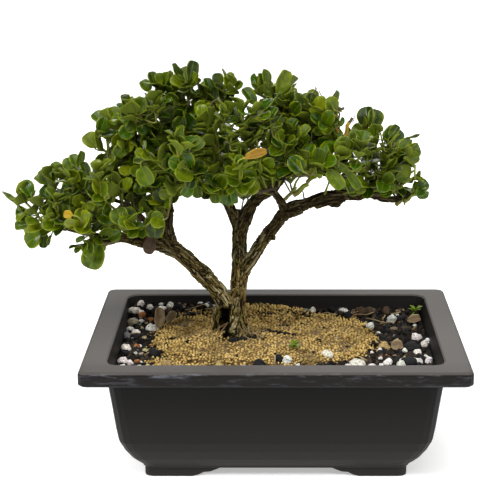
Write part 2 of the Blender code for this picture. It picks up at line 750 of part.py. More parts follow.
def make_root_ball(root, finish, seedling):
    """The block of clay granules that the roots hold, with holes for the trunk's foot and roots."""
    angles = soil_angles()
    rings = [[ball_point(angle, share, height) for angle in angles] for share, height in BALL_SIDE]
    for share in (0.985, 0.86, 0.70, 0.54, 0.38, 0.20):
        ring = [ball_point(angle, share, 0) for angle in angles]
        for point in ring:
            point.z = ball_height(point.x, point.y) - (0.0015 if share > 0.95 else 0)
        rings.append(ring)
    ball = put("root_ball", loft(rings), root, finish)
    combine(ball, "DIFFERENCE", [root_cutter(), seedling_hole(seedling)])
    return ball


def root_cutter():
    """The hole that the roots and the trunk's foot fill, with a gap all round."""
    tubes = []
    for points, radius, end_radius in ROOTS.values():
        path = along(points, LIMB_STEP)
        path.append(path[-1] + (path[-1] - path[-2]).normalized() * GAP * 2)
        tubes.append(put("root_hole", tube(path, radius + GAP * 1.6, end_radius + GAP * 1.6, ROOT_SIDES)))
    points, radius, end_radius, sides = LIMBS["trunk"]
    wide = radius + GAP * 1.8
    tubes.append(put("trunk_hole", tube(along(points[:3], LIMB_STEP), wide, wide, sides)))
    combine(tubes[0], "UNION", tubes[1:])
    return tubes[0]


def make_mix(root, finish, seedling):
    """The dark potting mix that fills the pot around the root ball, with stones on its top."""
    clear = GAP * 1.3
    rings = []
    for height in (FLOOR + clear, 0.0157, 0.030, 0.0545):
        inset = wall_inset(height) + WALL + clear + (0.002 if height < 0.015 else 0)
        rings.append(rounded_ring(inset, height, BODY_CORNER, 3, SOIL_EXTRA))
    edge = rounded_ring(wall_inset(MIX_TOP) + WALL + clear, 0.0, BODY_CORNER, 3, SOIL_EXTRA)
    angles = soil_angles()
    inner = [ball_point(angle, 1.0, 0.0, GAP * 1.5) for angle in angles]
    for share in (0.0, 0.5, 1.0):
        ring = [a.lerp(b, share) for a, b in zip(edge, inner)]
        for point in ring:
            point.z = mix_height(point.x, point.y)
        rings.append(ring)
    for share, height in reversed(BALL_SIDE):
        under = GAP if height == BALL_FLOOR else 0.0
        rings.append([ball_point(angle, share, height - under, GAP * 1.5) for angle in angles])
    mix = put("potting_mix", loft(rings), root, finish)
    combine(mix, "UNION", [put("pebble", shape) for shape in pebbles()])
    combine(mix, "DIFFERENCE", [seedling_hole(seedling)])
    return mix


def pebbles():
    """Stones half sunk in the top of the mix, mostly at the pot's two ends."""
    rng = random.Random(SEED)
    shapes = []
    spots = []
    inner_x = POT_LENGTH / 2 - RIM_INSET - WALL - 0.002
    inner_y = POT_WIDTH / 2 - RIM_INSET - WALL - 0.002
    while len(shapes) < PEBBLES:
        size = rng.uniform(0.0024, 0.0044)
        x = POT_X + rng.uniform(-1, 1) * (inner_x - size)
        y = rng.uniform(-1, 1) * (inner_y - size)
        angle = math.atan2(y - BALL_Y, x - BALL_X)
        outside = math.hypot(x - BALL_X, y - BALL_Y) - ball_radius(angle)
        if outside < size + 0.0012:
            continue
        if any(math.hypot(x - a, y - b) < size + c + 0.0008 for a, b, c in spots):
            continue
        spots.append((x, y, size))
        shapes.append(pebble(Vector((x, y, mix_height(x, y) + size * 0.15)), size, rng))
    return shapes


def pebble(centre, size, rng):
    bm = bmesh.new()
    bmesh.ops.create_icosphere(bm, subdivisions=1, radius=size)
    shape = Matrix.Diagonal((1.0, rng.uniform(0.7, 0.95), rng.uniform(0.6, 0.85)))
    turn = Matrix.Rotation(rng.uniform(0, 6.28), 3, "Z")
    vertices = [centre + turn @ shape @ vertex.co * rng.uniform(0.9, 1.0) for vertex in bm.verts]
    faces = [tuple(vertex.index for vertex in face.verts) for face in bm.faces]
    bm.free()
    return vertices, faces


def make_wood(root, finish, wood):
    """Trunk, limbs, roots and woody twigs, grown as one piece."""
    tubes = [put("limb", tube(*limb)) for limb in wood]
    body = tubes[0]
    combine(body, "UNION", tubes[1:])
    keep_largest(body)
    body.name = "trunk_and_branches"
    body.parent = root
    body.data.materials.clear()
    body.data.materials.append(finish)
    round_edges(body, 50)
    return body


def add_leaf(bm, neck, leaf):
    """A leaf that grows out of the four corners of a stem's side: two upper ones, then two lower ones."""
    corners = blade(leaf)[0]
    upper = [neck[0], neck[1]] + [bm.verts.new(corner) for corner in corners[2:7]]
    lower = [neck[3], neck[2]] + [bm.verts.new(corner) for corner in corners[9:14]]
    for a, b, c in BLADE_FACES:
        bm.faces.new((upper[a], upper[b], upper[c]))
        bm.faces.new((lower[c], lower[b], lower[a]))
    for k in range(1, 7):
        m = (k + 1) % 7
        bm.faces.new((upper[k], lower[k], lower[m]))
        bm.faces.new((upper[k], lower[m], upper[m]))


def add_stem(bm, stem, leaves, shoots, base=None):
    """A stem whose leaves and side shoots grow out of its sides, all in one skin."""
    rings = [base or [bm.verts.new(corner) for corner in stem_ring(stem, 0.0)]]
    if not base:
        bm.faces.new(rings[0])
    bands = {}
    half = NODE_HALF / stem.length
    for node, (share, lean, scale) in enumerate(stem.nodes):
        middle = node_middle(stem, share)
        bands[len(rings)] = node
        for height in (middle - half, middle + half):
            rings.append([bm.verts.new(corner) for corner in stem_ring(stem, height)])
    bm.faces.new(rings[-1])
    for k, (lower, upper) in enumerate(zip(rings, rings[1:])):
        for face in range(4):
            neck = (upper[face - 1], upper[face], lower[face], lower[face - 1])
            spot = (bands.get(k), face)
            if spot in leaves:
                add_leaf(bm, neck, leaves[spot])
            elif spot in shoots:
                shoot, shoot_leaves = shoots[spot]
                add_stem(bm, shoot, shoot_leaves, {}, [neck[0], neck[3], neck[2], neck[1]])
            else:
                bm.faces.new(neck)


def make_spray(name, stem, leaves, shoots, root, finish):
    """A leafy stem as one closed solid."""
    bm = bmesh.new()
    add_stem(bm, stem, leaves, shoots)
    bmesh.ops.recalc_face_normals(bm, faces=bm.faces)
    mesh = bpy.data.meshes.new(name)
    bm.to_mesh(mesh)
    bm.free()
    mesh.materials.append(finish)
    made = bpy.data.objects.new(name, mesh)
    bpy.context.scene.collection.objects.link(made)
    made.parent = root
    return made


def shape_of(body):
    corners = [vertex.co.copy() for vertex in body.data.vertices]
    return corners, [tuple(face.vertices) for face in body.data.polygons]


def make_fallen_leaf(name, place, turn, length, ground, root, finish):
    """A dry leaf, lowered onto the soil until it lies a hair above it."""
    way = Quaternion((0, 0, 1), math.radians(turn)) @ Vector((1, 0, 0))
    leaf = Leaf(Vector((*place, 0.100)), way, Vector((0, 0, 1)), length, LEAF_BREADTH * 0.8)
    step = Vector((0, 0, 0.0001))
    while ground.clear(blade(leaf, 0.0, GAP * 0.7)):
        leaf = leaf._replace(base=leaf.base - step)
    return put(name, blade(leaf._replace(base=leaf.base + step)), root, finish)


def seedling_stem(name, ground):
    """The upright stem of a seedling, rooted in the soil."""
    place, height, pairs, size = SEEDLINGS[name]
    start = Vector((*place, ground(*place) - SEEDLING_ROOT))
    length = height + SEEDLING_ROOT
    nodes = ((0.72, 1.15, 1.0), (1.0, 0.7, 0.85))[-pairs:]
    return Stem(start, Vector((0, 0, 1)), Vector((1, 0, 0)), length, SEEDLING_RADIUS, SEEDLING_RADIUS * 0.9,
                Vector(), nodes)


def seedling_hole(stem):
    """The plain hole in the soil for a seedling's stem."""
    depth = Vector((0, 0, GAP * 2))
    top = stem.start + Vector((0, 0, SEEDLING_ROOT + 0.003))
    wide = SEEDLING_RADIUS + GAP * 1.5
    return put("hole", tube([stem.start - depth, top], wide, wide, ROOT_SIDES))


def main():
    for thing in list(bpy.data.objects):
        bpy.data.objects.remove(thing)
    root = bpy.data.objects.new("natal_plum_bonsai", None)
    bpy.context.scene.collection.objects.link(root)

    plastic = material("plastic", (0.035, 0.032, 0.031), 0.55)
    dark_mix = material("potting_mix", (0.025, 0.022, 0.018), 0.95)
    granules = material("clay_granules", (0.36, 0.25, 0.13), 0.95)
    bark = material("bark", (0.17, 0.13, 0.085), 0.85)
    green = material("leaf", (0.055, 0.16, 0.025), 0.35)
    gold = material("gold_leaf", (0.55, 0.34, 0.03), 0.4)
    orange = material("orange_leaf", (0.60, 0.27, 0.03), 0.4)
    dry = material("dry_leaf", (0.30, 0.17, 0.07), 0.7)

    wood, sprays, odd = grow_tree()
    make_pot(root, plastic)
    seedlings = {
        "seedling_1": seedling_stem("seedling_1", ball_height),
        "seedling_2": seedling_stem("seedling_2", mix_height),
    }
    mix = make_mix(root, dark_mix, seedlings["seedling_2"])
    ball = make_root_ball(root, granules, seedlings["seedling_1"])
    make_wood(root, bark, wood)
    for number, spray in enumerate(sprays, 1):
        make_spray(f"spray_{number:02d}", spray.stem, spray.leaves, spray.shoots, root, green)
    for name, finish in (("gold_leaf", gold), ("orange_leaf", orange), ("brown_leaf", dry)):
        put(name, blade(odd[name]), root, finish)
    ground = Space()
    for soil in (mix, ball):
        ground.add(shape_of(soil))
    for name, (place, turn, length) in FALLEN_LEAVES.items():
        make_fallen_leaf(name, place, turn, length, ground, root, dry)
    free = {"leaves": Space()}
    for name, stem in seedlings.items():
        rng = random.Random(name)
        size = SEEDLINGS[name][3]
        leaves = grow_pairs(stem, free, rng, (size, size * 1.1))
        make_spray(name, stem, leaves, {}, root, green)


main()
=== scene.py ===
"""Looks for the natal plum bonsai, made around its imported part.

Metres, +Z up, in the part's own frame: the pot stands on z = 0, the trunk rises near x = 0, y = 0,
and +X is to the viewer's right. The tree grows here by the part's own rules, so fine leaves, twigs
and limbs start where the plain ones do. It then differs from the part where the photograph does, and
more leaves and shoots fill the crown. Geometry Nodes shape what repeats or follows a path: leaves,
stems, bark, granules, crumbs and stones. Tables of places are in mm where they say so.
"""

import math
import random
from collections import namedtuple

import bmesh
import bpy
from mathutils import Matrix, Quaternion, Vector, noise
from mathutils.bvhtree import BVHTree
from mathutils.kdtree import KDTree


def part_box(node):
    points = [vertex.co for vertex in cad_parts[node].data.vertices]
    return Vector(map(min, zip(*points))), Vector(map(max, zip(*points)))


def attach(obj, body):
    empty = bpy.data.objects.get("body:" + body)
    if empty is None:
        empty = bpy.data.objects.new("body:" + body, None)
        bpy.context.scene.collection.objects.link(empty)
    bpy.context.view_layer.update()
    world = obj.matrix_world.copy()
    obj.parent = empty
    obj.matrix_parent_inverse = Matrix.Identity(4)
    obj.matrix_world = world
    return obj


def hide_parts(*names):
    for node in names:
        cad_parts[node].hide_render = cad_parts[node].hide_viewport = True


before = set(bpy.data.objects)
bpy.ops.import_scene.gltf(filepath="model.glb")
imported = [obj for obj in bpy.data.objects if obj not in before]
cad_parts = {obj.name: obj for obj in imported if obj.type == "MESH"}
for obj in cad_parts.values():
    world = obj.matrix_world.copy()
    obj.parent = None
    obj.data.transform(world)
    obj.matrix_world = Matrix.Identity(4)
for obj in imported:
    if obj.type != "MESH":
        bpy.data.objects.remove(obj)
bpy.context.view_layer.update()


def metres(*points):
    """Places that are given in mm."""
    return [Vector([value / 1000 for value in point]) for point in points]


GAP = 0.0003
SEED = 11

# Pot
POT_X = 0.0305
POT_LENGTH = 0.257
POT_WIDTH = 0.194
RIM_INSET = 0.0165
WALL = 0.0032

# Soil
MIX_TOP = 0.0755
MIX_BUMP = 0.0012
BALL_X = 0.0225
BALL_Y = 0.0115
BALL_HALF_X = 0.0785
BALL_HALF_Y = 0.0600
BALL_SQUARE = 2.7
BALL_EDGE_TOP = 0.0772
BALL_RISE = 0.0070
BALL_RISE_WIDTH = 0.042
BALL_BUMP = 0.0013
PEBBLES = 16

# Wood: the points of each limb, in mm, its radius at both ends and its number of sides
LIMBS = {
    "trunk": (metres((2, -3, 70), (2, -3, 86), (3, -1, 96), (4, 1, 112), (5, 4, 136), (5, 6, 152),
        (6, 7, 163)), 0.0084, 0.0048, 9),
    "left_trunk": (metres((1, -3, 84), (-3, -3, 103), (-11, -5, 118), (-20, -8, 129), (-29, -11, 140),
        (-39, -13, 149), (-46, -14, 156)), 0.0072, 0.0048, 8),
    "right_trunk": (metres((4.5, 3, 118), (9, 2, 131), (16, 0, 142), (24, -3, 155), (32, -6, 166),
        (39, -8, 175)), 0.005, 0.0042, 7),
    "right_limb": (metres((34, -6.5, 169), (41, -8, 176), (52, -10, 180), (63, -12, 185), (75, -12, 187),
        (84, -10, 185), (94, -8, 186), (110, -6, 182), (120, -5, 184), (127, -5, 189)), 0.0042, 0.0018, 6),
    "left_fork": (metres((5.5, 6, 155), (-1, 12, 170), (-6, 16, 178), (-20, 22, 197), (-30, 24, 225),
        (-33, 20, 247)), 0.004, 0.0016, 6),
    "right_fork": (metres((5.8, 6, 156), (12, 6, 173), (18, 2, 181), (28, -4, 189), (35, -8, 198), (47, -10, 218),
        (54, -8, 238)), 0.004, 0.0016, 6),
    "left_riser": (metres((-42, -13.5, 152), (-44, -9, 166), (-44, -2, 177), (-50, 2, 191), (-57, 4, 208),
        (-63, 4, 229)), 0.0042, 0.0016, 6),
    "left_limb": (metres((-41, -13.5, 151), (-53, -16, 154), (-65, -18, 157), (-76, -19, 159), (-86, -20, 157),
        (-100, -18, 162), (-116, -15, 164), (-126, -12, 166)), 0.0034, 0.0017, 6),
    "left_side_branch": (metres((-50, -15, 154), (-61, -16, 172), (-75, -14, 182),
        (-86, -12, 183)), 0.0021, 0.0014, 5),
    "elbow_stub": (metres((37, -8, 172), (34.5, -10, 180), (31, -13, 186), (28, -14, 190)), 0.0025, 0.0019, 6),
    "left_stub": (metres((-22, -9, 131), (-18, -12, 139)), 0.0024, 0.0019, 6),
    "right_stub": (metres((20, -1, 149), (13, -4, 154)), 0.0024, 0.002, 6),
    "snag": (metres((50, -9, 226), (62, -15, 232), (72, -20, 239), (80, -22, 250)), 0.0014, 0.0009, 4),
}
# Limbs that bear twigs, and the share of each, from its root, that stays bare
BEARING = ("right_limb", "left_fork", "right_fork", "left_riser", "left_limb", "left_side_branch")
BARE_SHARE = 0.12
# Roots: the points of each, in mm, and its radius at both ends
ROOTS = {
    "front": (metres((0, -4, 98), (-4, -9, 89), (-6, -12, 81), (-9, -17, 66)), 0.0048, 0.0026),
    "right": (metres((4, 0, 96), (9, -3, 88), (11, -4, 81), (15, -4, 64)), 0.0048, 0.0028),
    "back": (metres((1, 2, 97), (-4, 8, 89), (-6, 12, 81), (-10, 18, 64)), 0.0048, 0.0028),
    "taproot": (metres((2, -2, 86), (3, -1, 72), (4, 1, 52)), 0.008, 0.005),
}
ROOT_SIDES = 6
LIMB_STEP = 0.017
TWIG_STEP = 0.026
TWIG_RADIUS = 0.0017
TWIG_END_RADIUS = 0.00120
TWIG_SIDES = 3
TWIG_READ = 0.006

# Leafy sprays: where each green stem ends
SPRAY_TIPS = metres(
    (-142, -15, 184), (-126, 0, 194), (-104, -36, 200), (-113, 32, 188), (-84, -52, 196), (-90, 42, 192),
    (-132, -24, 160), (-90, -36, 155), (-64, -50, 176), (-72, 10, 188), (-76, 37, 160), (-88, 0, 216), (-82, 24, 228),
    (-62, -28, 246), (-47, 6, 259), (-30, -8, 263), (-52, -55, 222), (-46, 52, 222), (-28, -64, 216), (-16, -38, 242),
    (-12, 44, 245), (8, -46, 248), (2, 6, 257), (22, -12, 259), (37, 14, 255), (30, 60, 228), (34, -52, 232),
    (52, -16, 247), (66, 20, 233), (8, -72, 218), (-10, -52, 200), (46, -64, 214), (64, 50, 212), (93, -4, 233),
    (108, -20, 223), (121, 6, 213), (126, -10, 199), (92, -46, 206), (70, -52, 222), (102, 38, 190), (76, -30, 202),
    (108, -32, 194), (-18, 74, 216), (-68, 66, 204), (-118, -38, 176), (-36, -44, 203), (24, -42, 206),
    (-98, -50, 174))
SPRAY_LENGTH = 0.030
STEM_RADII = (0.00098, 0.00080)
STEM_BOW = 0.0010
SHOOT_LENGTH = (0.011, 0.015)
SHOOT_RADII = (0.00083, 0.00076)
SHOOT_CHANCE = 0.12
NODE_HALF = 0.0005
# Where each pair of leaves is on a stem, how far it leans out, and its size
STEM_PAIRS = ((0.36, 1.12, 0.94), (0.60, 1.02, 1.06), (0.82, 0.88, 1.0), (1.0, 0.50, 0.88))
SHOOT_PAIRS = ((1.0, 0.62, 0.88),)
LEAF_LENGTH = (0.0140, 0.0185)
LEAF_BREADTH = 0.78
LEAF_THICK = 0.0007
LEAF_FOLD = 0.22
LEAF_DROOP = 0.10
LEAF_NECK = 0.0007
LEAF_CLEAR = 0.00022
NECK_LENGTH = 0.0014
TRIES = 14
# The triangles of a blade's upper side: two corners of its neck, then its outline round to the neck again
BLADE_FACES = ((4, 0, 1), (4, 1, 2), (4, 2, 3), (4, 6, 0), (4, 5, 6))
SEEDLING_ROOT = 0.004
SEEDLING_RADIUS = 0.0006
BLADE_TURN = 2.4

# The size of the cells that pieces are looked up by, and the cells round one
CELL = 0.026
NEIGHBOURS = [(x, y, z) for x in (-1, 0, 1) for y in (-1, 0, 1) for z in (-1, 0, 1)]
# How closely a limb is read for what grows on it, and where a stem and a leaf's stalk are read on their way
FINE_STEP = 0.004
STEM_SHARES = (0.0, 0.25, 0.5, 0.75, 1.0)
STALK_SHARES = (0.0, 0.2, 0.4, 0.6, 0.8, 1.0)
STALK_RADII = (0.00065, 0.00050)
# From one stem's random pick, for its colour, to the next one's
PICK_STEP = 0.618

# Where the real tree has a finer leaf than the part: its share of the plain leaf's length, and its breadth
FINE_SHARE = (0.62, 0.95)
FINE_BREADTH = (0.66, 0.88)
FINE_TRIES = 8
# Leaves that fill the crown: where on a stem, how far each leans out, its size, and the first side
BETWEEN_PAIRS = ((0.20, 1.10, 0.80, 1), (0.29, 1.00, 0.74, 0), (0.48, 0.95, 0.84, 1), (0.71, 0.85, 0.80, 0))
BUD_PAIR = (1.0, 0.30, 0.55, 0)
FILL_LENGTH = (0.0095, 0.0148)
FILLER_SHARES = (0.12, 0.26, 0.40, 0.54, 0.68, 0.82, 0.95)
FILLER_SIDES = 3
FILLER_LENGTH = (0.007, 0.017)
FILLER_RADII = (0.00074, 0.00055)
FILLER_PAIRS = ((0.35, 1.05, 0.86), (0.70, 0.80, 0.92), (1.0, 0.50, 0.92))
FILLER_TRIES = 6

# The crown as it is seen from the front, in mm on a sheet through the trunk: across, lowest and highest leaf
CROWN = (
    (-167, 176, 181), (-158, 158, 176), (-155, 156, 187), (-149, 142, 191), (-143, 140, 192), (-141, 142, 198),
    (-136, 149, 200), (-129, 153, 204), (-114, 153, 209), (-109, 150, 213), (-106, 126, 226), (-101, 126, 227),
    (-100, 127, 240), (-94, 133, 241), (-91, 147, 240), (-85, 147, 242), (-83, 147, 251), (-71, 149, 251),
    (-66, 149, 253), (-64, 149, 264), (-56, 148, 268), (-50, 151, 269), (-47, 170, 269), (-44, 175, 275),
    (-36, 178, 272), (-31, 179, 277), (-27, 178, 274), (-23, 176, 260), (-16, 174, 265), (-12, 173, 268),
    (-2, 174, 269), (1, 178, 265), (3, 178, 259), (9, 178, 259), (14, 178, 266), (18, 182, 269), (26, 184, 270),
    (29, 188, 263), (34, 189, 267), (42, 191, 269), (44, 191, 262), (46, 191, 254), (60, 192, 255), (66, 192, 251),
    (75, 183, 254), (77, 180, 247), (79, 177, 228), (88, 177, 226), (90, 177, 235), (95, 178, 244), (102, 178, 244),
    (108, 178, 236), (110, 178, 228), (118, 178, 229), (126, 177, 223), (133, 178, 217), (136, 177, 191),
    (141, 179, 190),
)
# Leaves that show at its edge and below it, on the same sheet: the stalk's end and the tip, the breadth as a share of
# the length, and the turn in degrees away from facing the front
EDGE_LEAVES = (
    (-146, 162, -167, 182, 0.24, 70), (-145.5, 178, -152, 190, 0.72, 15), (-133, 186, -138, 198, 0.75, -10),
    (-113, 200, -109, 211, 0.55, 40), (-98, 213, -107, 223, 0.85, 15), (-97, 213, -102, 220, 0.8, -30),
    (-91, 229, -101, 239, 0.7, 25), (-144, 162, -158, 168, 0.75, -30), (-137.5, 152, -150, 144, 0.85, 15),
    (-136, 153, -138, 141, 0.55, -20), (-97, 146, -104, 126, 0.77, 5), (-108, 142, -119, 142, 0.35, 60),
    (-56, 171, -57, 148, 0.62, 10), (-84, 159, -97, 166, 0.8, 10), (-80, 157, -84, 170, 0.95, -10),
    (-78, 155, -75, 169, 0.66, 15), (-36, 259, -45, 273, 0.45, 55), (-32, 261, -29, 276, 0.62, 25),
    (-75, 238, -79, 252, 0.55, 30), (23, 250, 23, 270, 0.45, 50), (22, 252, 12, 265.5, 0.38, -30),
    (31, 250, 39, 269, 0.52, 25), (16, 243, 8, 257, 0.5, 25), (69, 243, 76, 254, 0.42, 40),
    (97, 227, 95, 243, 0.8, -20), (100, 226, 103, 241, 0.78, 20), (93, 224, 86, 229, 0.85, 10),
    (108, 216, 117, 228, 0.74, 20), (121, 219, 134, 224, 0.26, 65), (122, 208, 134.5, 213.5, 0.85, 20),
    (122, 204, 134, 207, 0.75, -15), (116, 190, 126, 195, 0.75, 20), (131, 182, 140, 189, 0.78, 10),
    (131, 180, 141, 179, 0.62, 30), (123, 172, 124, 185, 0.5, 40), (28, 205, 43, 205, 0.5, -35),
    (-67, 201, -61, 186, 0.75, 15), (-2, 184, -6, 172, 0.75, 10), (0, 184, 1, 173, 0.42, 10),
    (7, 183, 12, 196, 0.8, 15), (-13, 183, -13, 173, 0.7, 15), (-21, 186, -33, 193, 0.8, 15),
    (-30, 187, -36, 178, 0.75, -15), (-27, 187, -25, 177, 0.7, 20), (-150, 167, -157, 161, 0.5, 35),
    (-60, 253, -66, 262, 0.7, 20), (-56, 256, -60, 268, 0.6, 30), (-17, 253, -19, 264, 0.6, 30),
    (-11, 256, -12, 267, 0.7, 10), (-84, 232, -88, 243, 0.75, 20), (-124, 194, -130, 203, 0.65, 20),
    (-118, 196, -121, 206, 0.6, -20), (-105, 192, -109, 203, 0.6, 30), (-113, 198, -116, 209, 0.6, 10),
    (-147, 158, -158, 157, 0.65, 20), (118, 213, 127, 220, 0.5, 30), (112, 220, 119, 229, 0.6, -20),
    (-100, 133, -107, 147, 0.5, 50), (67, 199, 79, 184, 0.52, 15), (70, 204, 83, 196, 0.38, 20),
    (82, 197, 92, 184, 0.42, 25), (78, 217, 70, 225, 0.3, 70), (79, 220, 88, 222, 0.32, 65),
    (76, 228, 80, 235, 0.4, 30), (114, 217, 122, 225, 0.65, 10), (-106, 149, -114, 146, 0.4, 20),
    (-107, 144, -115, 138, 0.46, 40), (118, 197, 128, 194, 0.75, 10), (129, 183, 132, 189, 0.42, 30),
    (-131, 151, -134, 143, 0.35, 50), (-78, 238, -83, 246, 0.5, 35), (-5, 245, -1, 256, 0.5, 20),
    (19, 256, 19, 267, 0.4, 30),
)
# Spots of the sheet where the background shows between the leaves, and how far each reaches
GAPS = (
    (-105, 204, 3), (-94, 213, 4), (133, 191, 5.5), (133.5, 196, 4.5), (-150, 176, 3.5), (-68, 173, 2.5),
    (125, 187, 3), (-106, 201, 2.5), (4.5, 249, 3.5), (15, 260, 3.5), (46, 257, 4), (-67, 160, 5.5), (-5.5, 227, 2.2),
    (79, 228, 3.5), (50, 186, 7), (41, 184, 5), (60, 185, 5), (5, 187, 3), (-82, 169, 2), (-104, 208, 3),
    (132, 190, 4), (-92, 174, 2.5), (-84, 175, 2), (-76, 172, 2), (-86, 171, 3.5), (-143, 184, 3.5), (-140, 164, 3),
)
# Where small leafy shoots end that fill the crown's thin spots, on the same sheet, and for some how far behind the
# stem that holds them, in mm; the others end 3 mm before it
BUNCHES = (
    (-58, 246), (-63, 250), (-66, 240), (-4, 240), (13, 237), (20, 239), (26, 234), (12, 228), (93, 216), (101, 218),
    (105, 213), (97, 209), (-105, 191), (-98, 196), (-96, 223), (-124, 195), (-118, 193), (-127, 177), (-94, 189),
    (-1, 226), (9, 219), (84, 212), (90, 204), (-75, 226), (60, 240), (52, 236), (-40, 252), (38, 250), (-36, 214),
    (-42, 219), (-30, 216), (104, 204), (110, 200), (100, 208), (112, 207), (96, 200), (76, 213), (73, 198),
    (78, 194), (66, 203), (4, 227, -6), (12, 243), (-13, 225), (0, 230, -6), (106, 224, -6), (117, 207, -6),
    (-90, 219), (40, 193, 4), (-140, 173, -8), (131, 201, -8), (-59, 186, 5), (86, 213, 6), (91, 209, -10),
    (85, 201, 5), (99, 207, 6), (-38, 216, 8), (-56, 243, 8), (40, 225, 8), (15, 222, 8),
)
BUNCH_PAIRS = ((0.30, 1.05, 0.80), (0.55, 0.95, 0.92), (0.78, 0.80, 0.96), (1.0, 0.45, 0.86))
BUNCH_LENGTH = 0.012
BUNCH_BACK = -3
# How much a place's depth counts against its distance on the sheet, how far before its stem an edge leaf hangs, and
# how far its tip leans back, as a share of its rise
DEPTH_COST = 0.12
EDGE_FRONT = 0.002
TIP_BACK = 0.25
# Thin bare twigs and green shoots: both ends on the same sheet, how far back they are, and their radius, in mm
SNAGS = (
    ((76, 227), (76, 239), -20, 0.8), ((75, 240), (80, 242), -20, 1.3), ((83, 231), (86, 235), -20, 1.3),
    ((51, 176), (50, 182), -13, 0.6), ((-24, 236), (-12, 248), -14, 0.8), ((61, 246), (59, 257), -20, 0.35),
    ((64, 246), (62, 254), -20, 0.35), ((57, 250), (60, 256), -20, 0.45), ((86, 231), (88, 237), -20, 0.35),
)
GREEN_SHOOTS = (
    ((37, 176), (45, 185), -12, 1.3), ((43, 179), (54, 187), -13, 2.1), ((53, 188), (61, 196), -14, 1.5),
    ((43, 183), (48, 193), -11, 0.9), ((117, 172), (133, 180), -5, 1.5),
)
YELLOW_SHOOTS = (((75, 223), (73.5, 237), -20, 1.3), ((80, 221), (84, 232), -20, 1.5))
# How the photograph's limbs differ from the plain ones: how far up each lies, how thick its two ends are as shares of
# the plain ones, and how far it rises on its way
LIMB_CHANGES = {
    "trunk": (0.0, 0.80, 1.0), "left_trunk": (-0.0006, 0.90, 1.08), "left_limb": (-0.0012, 1.35, 1.2, 0.0046),
    "right_limb": (0.0, 1.12, 1.0), "left_riser": (0.0, 1.10, 1.0), "right_fork": (0.0, 1.25, 1.0),
    "elbow_stub": (0.0, 1.35, 1.2), "right": (0.0, 0.75, 0.9), "taproot": (0.0, 0.80, 1.0),
    "front": (0.0, 0.85, 0.9), "back": (0.0, 0.85, 0.9),
}
LOST_STUBS = ("left_stub", "right_stub", "snag")
# Knots, flakes and old roots that thicken the wood, and a web behind the gap by the trunk's foot, painted black
# there as painted shade: the points of each, in mm, and its radius at both ends
KNOTS = (
    (metres((-21, -9.5, 135), (-14, -9, 129)), 0.0027, 0.0024),
    (metres((26, -4.5, 155.5), (29.7, -6, 154.5)), 0.0022, 0.0015),
    (metres((-64, -17, 153.5), (-52, -15, 151), (-38, -13, 145)), 0.0026, 0.0032),
    (metres((-7, -2, 106), (-10.8, 3, 94), (-12.4, 5.5, 77)), 0.0042, 0.0034),
    # A web behind the gap by the trunk's foot, painted black there as painted shade
    (metres((-5.5, 13, 105), (-5.5, 15, 76)), 0.005, 0.0052),
    (metres((4, -6, 118), (2, -7, 102)), 0.003, 0.0034),
    (metres((36, -10, 172), (48, -11, 176)), 0.0036, 0.003),
    (metres((57, -11.5, 179.5), (66, -12, 182.2), (76, -11.5, 183.8)), 0.0034, 0.0032),
    (metres((68, -12, 180.8), (73.5, -11.5, 180.3)), 0.003, 0.0026),
    (metres((50, -9, 226), (62, -15, 232), (71, -19.5, 238.3)), 0.0014, 0.0008),
    (metres((5, 8, 160), (4.7, 9, 170)), 0.004, 0.0024),
)
CAMERA_PLACE = Vector((0.0305, -1.0134, 0.4154))
CAMERA_TILT = math.radians(14.59)
CAMERA_LENS = 112.9
CAMERA_SHIFT = -0.0746
CAMERA_AHEAD = Vector((0, math.cos(CAMERA_TILT), -math.sin(CAMERA_TILT)))
CAMERA_UP = Vector((0, math.sin(CAMERA_TILT), math.cos(CAMERA_TILT)))

